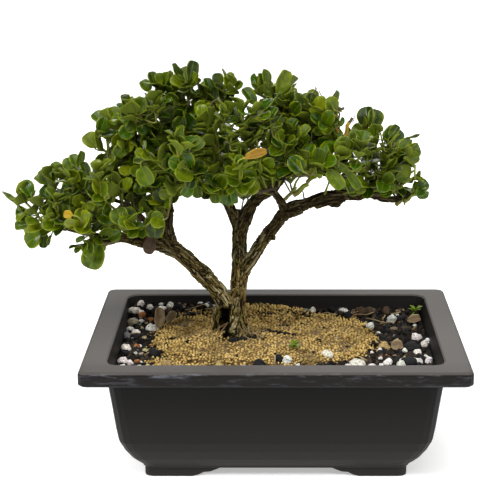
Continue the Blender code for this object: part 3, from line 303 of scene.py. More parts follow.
# Stones that show in the photograph: where each lies on the soil and how wide it is, in mm, and its height as a share
# of its width
STONES = {
    "pumice": ((-71, 71, 5.7, 0.9), (-49, 70, 5.2, 1), (-56, 72, 3.6, 0.7), (-55, 66, 6.7, 0.6), (-64, 66, 5.7, 0.9),
        (-75, 60, 8.8, 0.65), (-69, 48, 4.1, 0.9), (-60, 31, 9.3, 0.6), (-75, 31, 6.2, 0.7), (-71, 24, 6.2, 0.75),
        (-74, -15, 7.7, 0.9), (-65, -6, 3.1, 1.2), (-74, -40, 6.7, 0.8), (-68, -46, 5.2, 1.1), (-60, -54, 9.3, 0.45),
        (-73, -52, 5.2, 0.6), (-26, 72, 5.2, 0.8), (12, -53, 3.1, 0.8), (38, -46, 5.7, 1.2), (45, -50, 3.6, 1),
        (58, 66, 4.5, 1), (82, 70, 8.1, 0.4), (116, 50, 6.8, 1.25), (138, 2, 4.2, 1.2), (99, 32, 5.8, 0.85),
        (131, 10, 8.1, 0.8), (135, -5, 5.4, 0.8), (129, -23, 5.8, 0.85), (120, -20, 4, 1.1), (103, -16, 4, 0.8),
        (134, -30, 3.6, 0.75), (135, -39, 4.9, 1.3), (127, -40, 8.1, 0.56), (107, -44, 6.3, 0.86), (115, -50, 6.3, 1),
        (96, -54, 6.7, 0.8), (102, -50, 3.6, 1), (86, -47, 11.2, 0.52), (104, -60, 4.5, 0.6), (66, -34, 8.5, 0.68),
        (72, -56, 4, 0.56), (74, 6, 1.8, 1)),
    "tan": ((-42, 70, 3.1, 1.3), (90, 68, 5.4, 0.7), (117, 31, 6, 0.5)),
    "bark": ((101, 66, 9.5, 0.6), (113, 63, 5.6, 1.2), (125, 33, 8, 0.45), (131, 31, 5, 0.5)),
    "beige": ((-75, 44, 9.3, 0.67), (-63, -24, 3.1, 1)),
    "orange": ((-69, 57, 6.2, 0.75), (-67, -9, 4.6, 1), (-64, -40, 4.1, 1), (-50, -58, 6.2, 0.42),
        (59, -54, 4.5, 0.7), (-62, 50, 4.6, 1)),
    "yellow": ((-65, 44, 2.1, 1.2), (-67, 34, 3.1, 0.8), (-63, 11, 4.1, 0.75), (-74, -4, 3.6, 0.7),
        (-60, -17, 5.2, 0.7), (-56, -49, 3.1, 0.7), (117, 7, 2.2, 1)),
    "grey": ((-76, 12, 4.6, 1.3), (-21, 74, 3.1, 1), (53, 64, 3.6, 0.5), (134, -54, 5.4, 0.67)),
    "black": ((1, -18, 5.8, 0.7), (8, -15, 4.4, 0.6), (19, -50, 8.3, 1), (33, -44, 6.2, 1), (84, 57, 5.4, 1.4),
        (126, -13, 11.7, 0.7), (121, -44, 11.7, 0.7), (107, 13, 5.4, 0.67)),
}
STONE_TINTS = {
    "pumice": (0.96, 0.93, 0.86), "tan": (0.28, 0.20, 0.12), "bark": (0.085, 0.052, 0.030),
    "clod": (0.46, 0.33, 0.13), "beige": (0.46, 0.38, 0.27), "orange": (0.42, 0.17, 0.05),
    "yellow": (0.50, 0.42, 0.22), "grey": (0.22, 0.23, 0.24), "black": (0.018, 0.018, 0.020),
}
# What each of the part's own pebbles is, in their order
PEBBLE_KINDS = ("black", "bark", "pumice", "pumice", "clod", "black", "pumice", "pumice", "clod", "pumice", "clod",
                "black", "bark", "pumice", "bark", "clod")
# Small grit strewn among the crumbs: how many, and how large, in mm
GRIT = {"pumice": (46, 1.6, 3.4), "yellow": (26, 1.2, 2.6), "orange": (12, 1.4, 3.0), "grey": (22, 1.6, 3.2),
        "tan": (20, 1.5, 3.2), "black": (60, 3.0, 6.0)}
GRIT_REACH = (0.105, 0.074)
# How far outside the granules grit starts, and the share of it that strays inside
GRIT_EDGE = 0.003
GRIT_STRAY = 0.012
# The half width, in metres, below which a stone is made with fewer faces, as grit
GRIT_SIZE = 0.0021

# The skin over the limbs: its voxels, how closely each limb is read for its shape and for its map, its sides, and how
# much further along the map each limb starts than the one before
LIMB_VOXEL = 0.00060
SKIN_STEP = 0.0035
MAP_STEP = 0.001
SKIN_SIDES = 24
MAP_START = 0.37
# How far the mix rises towards the pot's back wall, on the left and on the right
HEAP_LEFT = 0.0065
HEAP_RIGHT = 0.0022
CROWN_MIDDLE = -0.010
CROWN_BOTTOM = 0.14
# The grid of the soil's top: how far it stays from the pot's wall, and its cells both ways
SOIL_EDGE = 0.0018
SOIL_COLUMNS = 96
SOIL_ROWS = 68
# The middle of the trunk's foot, and how far from it granules, and heaped ones, start
TRUNK_FOOT = (0.001, -0.003)
TRUNK_CLEAR = 0.0075
HEAP_CLEAR = 0.010
ROOTLETS = 11
ROOTLET_RADII = (0.00045, 0.00022)
STRAW_LIFT = 0.0022
# The gap between the trunk's foot and the old root left of it, dented in and painted black as painted shade: its
# sides, its top and how deep it is
FOOT_GAP = (-0.0085, -0.0015, 0.1020, 0.0045)
# Hollows in the granules, where dark crumbs lie, with the granules round them darkened as painted shade: where each
# is and how far it reaches, in mm, and its turn and slimness
HOLLOWS = (
    (-6.5, 15, 15, 1.57, 0.38), (6, -13, 8.5, -0.1, 0.6), (17, -8, 8, 0.1, 0.45), (28, 10, 11, 0.1, 0.32),
    (41, 8, 7, 0.3, 0.35), (-42, 1, 2.2, 0.0, 1.0), (-30, 56, 10, 0.3, 0.4), (24, 48, 9, 0.4, 0.35),
    (50, 56, 8, -0.3, 0.4), (36, 32, 6, 0.2, 0.35), (-4, -24, 3, 0.8, 0.6), (-24, 38, 4, 0.2, 0.5),
)
# How the soil is heaped up behind the trunk: the middle of each heap, how far it reaches both ways, and its height
MOUNDS = ((0.016, 0.066, 0.046, 0.030, 0.0062), (-0.030, 0.058, 0.030, 0.026, 0.0020))
# Where matted granules lie on the others: the middle of each patch and how far it reaches, both ways
HEAPS = ((-0.024, 0.028, 0.024, 0.020), (0.022, 0.046, 0.030, 0.026), (0.056, 0.050, 0.018, 0.014))
# Granules spilt forwards over the root ball's edge: the middle and the half width of the spill, how far forward it
# begins to narrow or widen in waves, how far forward it starts, and how far over the edge it reaches
SPILL_X = -0.006
SPILL_HALF = 0.058
SPILL_WAVES = 0.038
SPILL_START = 0.026
SPILL_OVER = 0.040
# Straw and bits of dry root: where, turned how, how long, and the radius, all but the turn in mm
LITTER = (
    (96, 58, 0.15, 14, 0.7), (104, 48, -0.55, 16, 0.5), (113, 42, 0.3, 13, 0.7), (120, 60, 0.6, 10, 0.6),
    (131, 28, 1.2, 9, 0.6), (-30, 64, 0.55, 17, 0.5), (-18, 60, -0.2, 10, 0.5), (-58, -30, 0.9, 8, 0.6),
    (90, -40, 1.9, 9, 0.9), (30, -48, 1.7, 10, 1), (-70, 16, 0.4, 9, 0.8), (70, 58, 0.1, 11, 0.5),
    (100, 66, -0.2, 9, 0.8), (90, 62, 0.9, 8, 0.5), (111, 52, 1.3, 7, 0.8),
)

# Colours
LEAF_DEEP = (0.004, 0.017, 0.0006)
LEAF_MIDDLE = (0.048, 0.086, 0.0006)
LEAF_LIGHT = (0.195, 0.225, 0.004)
LEAF_RICH = (0.014, 0.062, 0.0010)
LEAF_UNDER = (0.130, 0.165, 0.010)
BARK_BROWN = (0.165, 0.110, 0.032)
BARK_OLIVE = (0.200, 0.162, 0.044)
BARK_PALE = (0.540, 0.430, 0.160)
BARK_WORN = (0.800, 0.700, 0.420)
# Dark cracks; the same colour is painted higher up on the limbs as painted shade under the crown
BARK_CRACK_AND_SHADE = (0.010, 0.007, 0.004)
# Near black painted into the gap by the trunk's foot: painted shade
BARK_GAP_PAINTED_SHADE = (0.002, 0.0015, 0.001)
PLASTIC_DARK = (0.0095, 0.0080, 0.0074)
PLASTIC_LIGHT = (0.0140, 0.0122, 0.0112)
# Dust, and painted light on the rim's top
PLASTIC_DUST_AND_TOP_LIGHT = (0.118, 0.105, 0.096)
# Scuffs, and a painted sheen on the rim's front edge
PLASTIC_SCUFF_AND_SHEEN = (0.200, 0.205, 0.245)
PLASTIC_SHADOW = (0.001, 0.001, 0.001)
# Leaves of another colour: the slot of each; the colours of its deep, middle and light parts and of its underside; and
# where it shows, as the leaves of the crown's edge are given, and how far back it hangs, in metres
ODD_LEAVES = {
    "gold_leaf": ("gold_leaf", ((0.14, 0.08, 0.002), (0.29, 0.18, 0.003), (0.38, 0.26, 0.01), (0.26, 0.17, 0.01)),
                  (-115.5, 164.5, -122.5, 165.5, 0.72, 10, -0.064)),
    "orange_leaf": ("orange_leaf", ((0.17, 0.085, 0.004), (0.29, 0.17, 0.006), (0.4, 0.26, 0.02), (0.28, 0.17, 0.02)),
                    (6.5, 205.5, 24, 211, 0.34, -25, -0.084)),
    "brown_leaf": ("dry_leaf", ((0.036, 0.02, 0.01), (0.08, 0.05, 0.028), (0.07, 0.036, 0.022), (0.08, 0.055, 0.035)),
                   (-58, 152, -61.5, 136.5, 0.54, 15, -0.030)),
}
# Dry leaves on the soil: where each stands, which way it points and faces, its length, its breadth as a share of that,
# and how far its stalk is above the soil
DRY_LEAVES = {
    "fallen_leaf_1": (-0.0545, 0.0265, (0.03, 0.10, 1.0), (0.35, -1.0, 0.2), 0.0155, 0.46, 0.0012),
    "fallen_leaf_2": (-0.0485, 0.0345, (0.65, 0.05, 0.70), (-0.5, -0.8, 0.7), 0.0105, 0.66, 0.0012),
    "fallen_leaf_3": (0.1110, -0.0120, (1.0, 0.10, 0.25), (-0.1, -0.75, 0.65), 0.0088, 0.78, 0.0020),
    "leaf_chip": (0.1272, 0.0425, (1.0, 0.15, 0.22), (-0.1, -0.80, 0.60), 0.0100, 0.55, 0.0034),
}
DRY_COLOURS = ((0.09, 0.055, 0.024), (0.22, 0.155, 0.082), (0.40, 0.31, 0.185), (0.27, 0.20, 0.115))
SEEDLING_COLOURS = ((0.05, 0.10, 0.004), (0.14, 0.23, 0.008), (0.27, 0.38, 0.015), (0.18, 0.25, 0.02))
FLOOR_PALE = (0.90, 0.90, 0.895)
WHITE = (1.0, 1.0, 1.0, 1.0)

# Light: the dim white all round, the sun with its spread and its turn in degrees, and the floor's own faint glow
WORLD_LIGHT = 0.13
SUN_LIGHT = 2.4
SUN_SPREAD = 60
SUN_TURN = (22, -3)
FLOOR_GLOW = 0.42
FLOOR_REACH = 60
# Each soft lamp: where it is, what it is aimed at, how wide it is, and its power
LAMPS = (
    ("left_box", (-0.75, -0.70, 0.95), (0.0, 0.0, 0.14), 0.45, 10.0),
    ("right_box", (0.95, -0.75, 0.70), (0.02, 0.0, 0.12), 0.45, 6.0),
    ("back_box", (0.10, 1.30, 0.75), (0.02, 0.0, 0.10), 1.2, 9.0),
)

Limb = namedtuple("Limb", "points radius end_radius sides end_way", defaults=(None,))
Stem = namedtuple("Stem", "start way across length radius end_radius bow nodes", defaults=(Vector(), ()))
Spray = namedtuple("Spray", "stem leaves shoots")
Leaf = namedtuple("Leaf", "base along normal length breadth")


# Node trees


class Wire:
    """A node's output. Arithmetic on it adds the Math nodes that do the sum."""

    def __init__(self, sheet, socket):
        self.sheet = sheet
        self.socket = socket

    def other(self, name):
        """Another output of the same node."""
        return Wire(self.sheet, self.socket.node.outputs[name])

    def __abs__(self):
        return self.sheet.math("ABSOLUTE", self)


for sign, sum_of in (("add", "ADD"), ("sub", "SUBTRACT"), ("mul", "MULTIPLY"), ("truediv", "DIVIDE"), ("pow", "POWER")):
    setattr(Wire, f"__{sign}__", lambda self, value, sum_of=sum_of: self.sheet.math(sum_of, self, value))
    setattr(Wire, f"__r{sign}__", lambda self, value, sum_of=sum_of: self.sheet.math(sum_of, value, self))


class Sheet:
    """A node tree, and what fills it."""

    def __init__(self, tree):
        self.tree = tree

    def add(self, kind, settings=None, sockets=None, out=0):
        """A node of a kind: its settings come first, then values or wires for its sockets."""
        node = self.tree.nodes.new(kind)
        for name, value in (settings or {}).items():
            setattr(node, name, value)
        for name, value in (sockets or {}).items():
            self.join(value, node.inputs[name])
        return Wire(self, node.outputs[out]) if len(node.outputs) else node

    def join(self, value, socket):
        if isinstance(value, Wire):
            self.tree.links.new(value.socket, socket)
        else:
            socket.default_value = value

    def math(self, operation, *values):
        return self.add("ShaderNodeMath", {"operation": operation}, dict(enumerate(values)))

    def vector(self, operation, *values, out=0):
        return self.add("ShaderNodeVectorMath", {"operation": operation}, dict(enumerate(values)), out)

    def stretch(self, vector, amount):
        return self.add("ShaderNodeVectorMath", {"operation": "SCALE"}, {0: vector, "Scale": amount})

    def xyz(self, x, y, z):
        return self.add("ShaderNodeCombineXYZ", None, {0: x, 1: y, 2: z})

    def parts(self, vector):
        x = self.add("ShaderNodeSeparateXYZ", None, {0: vector})
        return x, x.other(1), x.other(2)

    def mix(self, share, a, b):
        """Colour a turning into colour b."""
        a, b = ((*shade, 1.0) if isinstance(shade, tuple) else shade for shade in (a, b))
        return self.add("ShaderNodeMix", {"data_type": "RGBA"}, {0: share, 6: a, 7: b}, 2)

    def layers(self, colour, *coats):
        """A colour with each coat over it, as (share, colour)."""
        for share, coat in coats:
            colour = self.mix(share, colour, coat)
        return colour

    def step(self, value, low, high):
        """0 below low, 1 above high, and smooth between them."""
        return self.add("ShaderNodeMapRange", {"interpolation_type": "SMOOTHSTEP"},
                        {"Value": value, "From Min": low, "From Max": high})

    def noise(self, place, scale, detail=2.0, roughness=0.5):
        return self.add("ShaderNodeTexNoise", None,
                        {"Vector": place, "Scale": scale, "Detail": detail, "Roughness": roughness})

    def cells(self, place, scale, feature="DISTANCE_TO_EDGE", out=0):
        return self.add("ShaderNodeTexVoronoi", {"feature": feature}, {"Vector": place, "Scale": scale}, out)

    def drift(self, place, scale, reach):
        """A soft random shift, by up to about half the reach."""
        wander = self.add("ShaderNodeTexNoise", None, {"Vector": place, "Scale": scale}, "Color")
        return self.stretch(self.vector("SUBTRACT", wander, (0.5, 0.5, 0.5)), reach)


class Finish(Sheet):
    """A material, filled as its node tree is."""

    def __init__(self, name, **values):
        self.material = bpy.data.materials.new(name)
        self.material.use_nodes = True
        super().__init__(self.material.node_tree)
        self.shader = self.tree.nodes["Principled BSDF"]
        for label, value in values.items():
            self.shader.inputs[label.replace("_", " ").title().replace("Ior", "IOR")].default_value = value

    def place(self):
        return self.add("ShaderNodeTexCoord", None, None, "Object")

    def read(self, name, out="Vector"):
        return self.add("ShaderNodeAttribute", {"attribute_name": name}, None, out)

    def done(self, colour, roughness, height=None, distance=0.001, strength=1.0):
        """The material, with its colour, its roughness and the height of its fine bumps."""
        self.join(colour, self.shader.inputs["Base Color"])
        self.join(roughness, self.shader.inputs["Roughness"])
        if height:
            raised = self.add("ShaderNodeBump", None, {"Height": height, "Distance": distance, "Strength": strength})
            self.join(raised, self.shader.inputs["Normal"])
        return self.material


SOCKETS = {float: "NodeSocketFloat", int: "NodeSocketInt", type(None): "NodeSocketMaterial"}


class Grower(Sheet):
    """A Geometry Nodes tree with named inputs for its sizes."""

    def __init__(self, name, **sizes):
        super().__init__(bpy.data.node_groups.new(name, "GeometryNodeTree"))
        interface = self.tree.interface
        interface.new_socket("Geometry", in_out="INPUT", socket_type="NodeSocketGeometry")
        for label, value in {**sizes, "Finish": None}.items():
            made = interface.new_socket(label, in_out="INPUT", socket_type=SOCKETS[type(value)])
            if value is not None:
                made.default_value = value
        interface.new_socket("Geometry", in_out="OUTPUT", socket_type="NodeSocketGeometry")
        self.start = self.add("NodeGroupInput")

    def size(self, label):
        return self.start.other(label)

    def named(self, label, kind="FLOAT_VECTOR"):
        return self.add("GeometryNodeInputNamedAttribute", {"data_type": kind}, {"Name": label})

    def store(self, shape, label, value, kind="FLOAT_VECTOR"):
        return self.add("GeometryNodeStoreNamedAttribute", {"data_type": kind},
                        {"Geometry": shape, "Name": label, "Value": value})

    def spot(self):
        return self.add("GeometryNodeInputPosition")

    def random(self, low, high, seed):
        return self.add("FunctionNodeRandomValue", {"data_type": "FLOAT"}, {2: low, 3: high, "Seed": seed}, 1)

    def copies(self, points, shape, **how):
        """A copy of a shape on each point."""
        held = self.add("GeometryNodeInstanceOnPoints", None, {"Points": points, "Instance": shape, **how})
        return self.add("GeometryNodeRealizeInstances", None, {"Geometry": held})

    def moved(self, shape, **how):
        return self.add("GeometryNodeSetPosition", None, {"Geometry": shape, **how})

    def swollen(self, shape, rise):
        """The shape with its skin raised."""
        return self.moved(shape, Offset=self.stretch(self.add("GeometryNodeInputNormal"), rise))

    def end(self, shape):
        """Smooth faces, the finish, and the tree's output."""
        smooth = self.add("GeometryNodeSetShadeSmooth", None, {"Geometry": shape})
        done = self.add("GeometryNodeSetMaterial", None, {"Geometry": smooth, "Material": self.size("Finish")})
        self.join(done, self.tree.nodes.new("NodeGroupOutput").inputs[0])
        return self.tree


def stand(name, data):
    """An object of the scene."""
    made = bpy.data.objects.new(name, data)
    bpy.context.scene.collection.objects.link(made)
    return made


def changed_mesh(piece):
    """The mesh of a piece after its modifiers."""
    graph = bpy.context.evaluated_depsgraph_get()
    return bpy.data.meshes.new_from_object(piece.evaluated_get(graph))


def show(name, mesh, tree, finish, slot, nodes=(), **sizes):
    """The piece that a Geometry Nodes tree makes of a mesh, as a plain mesh on the part's one body, with the plain
    nodes that it stands for. Its slot is not used."""
    piece = stand(name, mesh)
    change = piece.modifiers.new("grow", "NODES")
    change.node_group = tree
    sizes["Finish"] = finish
    for item in tree.interface.items_tree:
        if item.name in sizes and item.in_out == "INPUT":
            change[item.identifier] = sizes[item.name]
    made = changed_mesh(piece)
    piece.modifiers.remove(change)
    piece.data = made
    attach(piece, "root")
    if nodes:
        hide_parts(*nodes)


def mesh_of(name, points, edges=(), faces=(), **facts):
    """A mesh that keeps a vector of each kind for each of its points."""
    mesh = bpy.data.meshes.new(name)
    mesh.from_pydata(points, edges, faces)
    keep(mesh, **facts)
    return mesh


def keep(mesh, **facts):
    for label, values in facts.items():
        layer = mesh.attributes.new(label, "FLOAT_VECTOR", "POINT")
        layer.data.foreach_set("vector", [number for value in values for number in value])


def mixed(a, b, share):
    return a + (b - a) * share


def within(value):
    """The value, held from 0 to 1."""
    return max(0.0, min(1.0, value))


def square_to(way, upper):
    """The direction square to a way that is nearest to upper."""
    return (upper - way * upper.dot(way)).normalized()


def lumps(x, y, scale, layer):
    """A soft random height from -1 to 1 at a place of the soil."""
    return noise.noise(Vector((x * scale, y * scale, layer)))


# Growth, by the rules of the part itself


def along(points, step):
    """A smooth curve through the points, read about once every step."""
    ends = [points[0] * 2 - points[1]] + points + [points[-1] * 2 - points[-2]]
    curve = []
    for a, b, c, d in zip(ends, ends[1:], ends[2:], ends[3:]):
        count = max(1, round((c - b).length / step))
        for k in range(count):
            t = k / count
            curve.append(0.5 * (2 * b + (c - a) * t + (2 * a - 5 * b + 4 * c - d) * t ** 2
                                + (3 * b - a - 3 * c + d) * t ** 3))
    curve.append(points[-1])
    return curve


def bend(start, start_way, end, end_way, step):
    """A curve from start to end that leaves and arrives in the given directions."""
    reach = (end - start).length * 0.38
    handle_a = start + start_way * reach
    handle_b = end - end_way * reach
    count = max(2, round((end - start).length / step))
    curve = []
    for k in range(count + 1):
        t = k / count
        s = 1 - t
        curve.append(start * s ** 3 + handle_a * 3 * s * s * t + handle_b * 3 * s * t * t + end * t ** 3)
    return curve


def ways(points):
    """The direction of a path at each of its points."""
    last = len(points) - 1
    return [(points[min(k + 1, last)] - points[max(k - 1, 0)]).normalized() for k in range(last + 1)]


def tube(points, radius, end_radius, sides, end_way=None):
    """The corners and faces of a closed tapered tube, with a rounded end, or a flat one square to end_way."""
    directions = ways(points)
    side = directions[0].orthogonal().normalized()
    vertices = []
    stations = [(point, 1.0) for point in points]
    if end_way:
        directions[-1] = end_way
    else:
        stations.append((points[-1] + directions[-1] * end_radius * 0.6, 0.55))
        directions.append(directions[-1])
    last = len(stations) - 1
    for k, (point, share) in enumerate(stations):
        if k:
            side = directions[k - 1].rotation_difference(directions[k]) @ side
        here = (radius + (end_radius - radius) * k / last) * share
        other = directions[k].cross(side)
        for n in range(sides):
            angle = 2 * math.pi * n / sides
            vertices.append(point + (side * math.cos(angle) + other * math.sin(angle)) * here)
    return vertices, [tuple(reversed(range(sides)))] + ring_faces(sides, last)


def ring_faces(sides, last):
    """The faces between rings of corners that follow each other, and the one that closes the last."""
    faces = []
    for k in range(last):
        for n in range(sides):
            m = (n + 1) % sides
            faces.append((k * sides + n, k * sides + m, (k + 1) * sides + m, (k + 1) * sides + n))
    return faces + [tuple(last * sides + n for n in range(sides))]


def blade(leaf, start=0.0, swell=0.0):
    """The corners and faces of a leaf: a rounded blade folded along its midrib, with a narrow neck."""
    side = leaf.normal.cross(leaf.along)
    half = leaf.length * leaf.breadth / 2 + swell
    neck = LEAF_NECK / half
    outline = ((start, -neck, 0.0), (start, neck, 0.0), (0.42, 0.93, 0.0), (0.83, 0.84, 0.05),
               (1.0, 0.0, LEAF_DROOP), (0.83, -0.84, 0.05), (0.42, -0.93, 0.0))
    vertices = []
    for lift in (LEAF_THICK / 2 + swell, -LEAF_THICK / 2 - swell):
        for x, y, drop in outline:
            rise = abs(y) * half * LEAF_FOLD - drop * leaf.length + lift
            forward = leaf.along * (x * leaf.length + (swell if x == 1.0 else 0.0))
            vertices.append(leaf.base + forward + side * (y * half) + leaf.normal * rise)
    faces = list(BLADE_FACES)
    faces += [tuple(v + 7 for v in reversed(face)) for face in BLADE_FACES]
    for k in range(7):
        m = (k + 1) % 7
        faces.append((k, k + 7, m + 7))
        faces.append((k, m + 7, m))
    return vertices, faces


def stem_point(stem, share):
    return stem.start + stem.way * (stem.length * share) + stem.bow * (4 * share * (1 - share))


def face_way(stem, face):
    """The direction that one of a stem's four sides faces."""
    other = stem.way.cross(stem.across)
    return (stem.across, other, -stem.across, -other)[face % 4]


def stem_radius(stem, share):
    return mixed(stem.radius, stem.end_radius, share)


def stem_ring(stem, share, swell=0.0):
    """The four corners of a stem at a share of its length."""
    middle = stem_point(stem, share)
    reach = (stem_radius(stem, share) + swell) / math.sqrt(2)
    return [middle + (face_way(stem, n) + face_way(stem, n + 1)) * reach for n in range(4)]


def stem_shape(stem, start=0.0, swell=0.0):
    """The corners and faces of a plain stem, without its leaves."""
    shares = (start, *STEM_SHARES[1:])
    corners = [corner for share in shares for corner in stem_ring(stem, share, swell)]
    return corners, [tuple(range(4))] + ring_faces(4, len(shares) - 1)


def node_middle(stem, share):
    """The middle height of the short band of a stem that a pair of leaves grows from."""
    return min(share, 1.0 - NODE_HALF / stem.length)


def tree_of(shape):
    return BVHTree.FromPolygons(*shape)


class Space:
    """What has been placed so far, to keep new pieces clear of it. Small pieces are looked up by cell."""

    def __init__(self):
        self.wide = []
        self.cells = {}

    def near(self, centre, reach):
        if reach > CELL / 2:
            found = self.wide + [entry for cell in self.cells.values() for entry in cell]
        else:
            found = list(self.wide)
            x, y, z = (math.floor(value / CELL) for value in centre)
            for spot in NEIGHBOURS:
                found += self.cells.get((x + spot[0], y + spot[1], z + spot[2]), ())
        return [tree for other, far, tree in found if (other - centre).length < reach + far]

    def add(self, shape):
        centre, reach = measure(shape)
        if reach > CELL / 2:
            self.wide.append((centre, reach, tree_of(shape)))
        else:
            key = tuple(math.floor(value / CELL) for value in centre)
            self.cells.setdefault(key, []).append((centre, reach, tree_of(shape)))

    def clear(self, shape):
        near = self.near(*measure(shape))
        if not near:
            return True
        own = tree_of(shape)
        return not any(tree.overlap(own) for tree in near)


def measure(shape):
    centre = sum(shape[0], Vector()) / len(shape[0])
    return centre, max((vertex - centre).length for vertex in shape[0])


def turned(direction, amount, rng):
    """The direction, turned at random by up to about the amount."""
    return (direction + Vector([rng.gauss(0, amount) for axis in range(3)])).normalized()


def grow_wood():
    """The limbs and roots, and the places on the limbs that can bear a twig."""
    wood = []
    places = []
    for name, (points, radius, end_radius, sides) in LIMBS.items():
        wood.append(Limb(along(points, LIMB_STEP), radius, end_radius, sides))
        if name in BEARING:
            fine = along(points, FINE_STEP)
            for k, (point, way) in enumerate(zip(fine, ways(fine))):
                share = k / (len(fine) - 1)
                if share > BARE_SHARE:
                    places.append((point, way, mixed(radius, end_radius, share)))
    for points, radius, end_radius in ROOTS.values():
        wood.append(Limb(along(points, LIMB_STEP), radius, end_radius, ROOT_SIDES))
    return wood, places


def best_place(tip, places):
    """The place on the wood that a twig to this tip would come from."""
    def cost(place):
        point, way, _ = place
        reach = tip - point
        turn = 1 - way.dot(reach.normalized())
        short = max(0.0, 0.034 - reach.length) * 3
        down = max(0.0, point.z - tip.z) * 1.5
        return reach.length * (1 + 0.35 * turn) + short + down
    return min(places, key=cost)


def grow_twigs(wood, places, space):
    """A woody twig to each spray, and the spray's green stem beyond it."""
    trunk_top = LIMBS["trunk"][0][-1]
    order = sorted(range(len(SPRAY_TIPS)), key=lambda n: (SPRAY_TIPS[n] - trunk_top).length)
    stems = {}
    for number in order:
        rng = random.Random(SEED * 1000 + number)
        tip = SPRAY_TIPS[number]
        point, way, radius = best_place(tip, places)
        reach = tip - point
        length = min(SPRAY_LENGTH, max(0.018, reach.length * 0.62))
        thick = min(TWIG_RADIUS, radius * 0.85)
        for attempt in range(TRIES * 2):
            outward = turned(reach.normalized() + Vector((0, 0, 0.35)), 0.10 + 0.02 * attempt, rng)
            base = tip - outward * length
            leaving = (way * 0.6 + (base - point).normalized()).normalized()
            path = bend(point, leaving, base, outward, TWIG_STEP)
            across = Quaternion(outward, rng.uniform(0, math.pi)) @ outward.orthogonal().normalized()
            bow = face_way(Stem(base, outward, across, 0, 0, 0), rng.randrange(4)) * STEM_BOW
            stem = Stem(base + outward * GAP, outward, across, length, *STEM_RADII, bow, STEM_PAIRS)
            guard = stem_shape(stem, 0.001 / length, GAP * 1.5)
            twig_guard = tube(path, thick + GAP, TWIG_END_RADIUS + GAP, TWIG_SIDES, outward)
            room = all(space[kind].clear(guard) for kind in ("wood", "stems"))
            if room and space["stems"].clear(twig_guard):
                break
        wood.append(Limb(path, thick, TWIG_END_RADIUS, TWIG_SIDES, outward))
        space["wood"].add(tube(*wood[-1]))
        space["stems"].add(stem_shape(stem))
        for spot, spot_way in list(zip(path, ways(path)))[1:-1]:
            places.append((spot, spot_way, TWIG_RADIUS))
        stems[number] = stem
    return stems


def side_shoots(stem, space, rng):
    """A short green shoot from between two leaves of a stem, where there is room for one."""
    for attempt in range(TRIES):
        node = rng.choice((0, 1))
        face = 1 + node + 2 * rng.randrange(2)
        out = face_way(stem, face)
        start = stem_point(stem, stem.nodes[node][0]) + out * stem.radius * 0.7
        way = turned(out + stem.way * 0.8 + Vector((0, 0, 0.2)), 0.12, rng)
        across = square_to(way, stem.way)
        length = rng.uniform(*SHOOT_LENGTH)
        shoot = Stem(start, way, across, length, *SHOOT_RADII, Vector(), SHOOT_PAIRS)
        guard = stem_shape(shoot, 0.0022 / shoot.length, GAP)
        if way.dot(out) > 0.55 and space["wood"].clear(guard) and space["stems"].clear(guard):
            space["stems"].add(stem_shape(shoot))
            return {(node, face % 4): shoot}
    return {}


def grow_leaf(stem, node, face, size, rng, space):
    """A leaf from one side of a stem, bent clear of what is there, or none if there is no room."""
    share, lean, scale = stem.nodes[node]
    share = node_middle(stem, share)
    out = face_way(stem, face)
    broad = stem.way.cross(out)
    base = stem_point(stem, share) + out * (stem_radius(stem, share) / math.sqrt(2))
    for attempt in range(TRIES):
        loose = 0.08 + 0.03 * attempt
        direction = turned(stem.way * math.cos(lean) + out * math.sin(lean), loose, rng)
        upper = turned(stem.way * math.sin(lean) - out * math.cos(lean) + Vector((0, 0, 0.5)), loose, rng)
        normal = square_to(direction, upper)
        length = size * scale * rng.uniform(0.93, 1.07) * (1 - 0.012 * attempt)
        leaf = Leaf(base, direction, normal, length, LEAF_BREADTH * rng.uniform(0.9, 1.1))
        if direction.dot(out) < 0.30 or normal.cross(direction).dot(broad) < 0.72:
            continue
        guard = blade(leaf, NECK_LENGTH / leaf.length, LEAF_CLEAR)
        if all(part.clear(guard) for part in space.values()):
            space["leaves"].add(blade(leaf))
            return leaf
    return None


def grow_pairs(stem, space, rng, size):
    """Pairs of leaves up a stem, each pair turned a quarter from the last."""
    leaves = {}
    for node in range(len(stem.nodes)):
        for face in (node % 2, node % 2 + 2):
            leaf = grow_leaf(stem, node, face, rng.uniform(*size), rng, space)
            if leaf:
                leaves[node, face] = leaf
    return leaves


def grow_sprays(stems, space):
    """The leaves and the side shoots of every spray."""
    shoots = {}
    for number in sorted(stems):
        rng = random.Random(SEED * 2000 + number)
        shoots[number] = side_shoots(stems[number], space, rng) if rng.random() < SHOOT_CHANCE else {}
    sprays = []
    for number in sorted(stems):
        rng = random.Random(SEED * 3000 + number)
        leaves = grow_pairs(stems[number], space, rng, LEAF_LENGTH)
        side = {}
        for spot, shoot in shoots[number].items():
            side[spot] = (shoot, grow_pairs(shoot, space, rng, LEAF_LENGTH))
        sprays.append(Spray(stems[number], leaves, side))
    return sprays


def grow_tree():
    """All of the tree: its wood, its sprays, and the space that they take up."""
    wood, places = grow_wood()
    space = {"wood": Space(), "stems": Space(), "leaves": Space()}
    for limb in wood:
        space["wood"].add(tube(limb.points, limb.radius + GAP, limb.end_radius + GAP, limb.sides))
    return wood, grow_sprays(grow_twigs(wood, places, space), space), space


def relief(x, y, size, amount):
    """A lumpy height, for soil."""
    return noise.noise(Vector((x / size, y / size, 0.5))) * amount


def outside_ball(x, y):
    """How far a place is outside the root ball's edge."""
    angle = math.atan2(y - BALL_Y, x - BALL_X)
    total = abs(math.cos(angle) / BALL_HALF_X) ** BALL_SQUARE + abs(math.sin(angle) / BALL_HALF_Y) ** BALL_SQUARE
    return math.hypot(x - BALL_X, y - BALL_Y) - total ** (-1 / BALL_SQUARE)


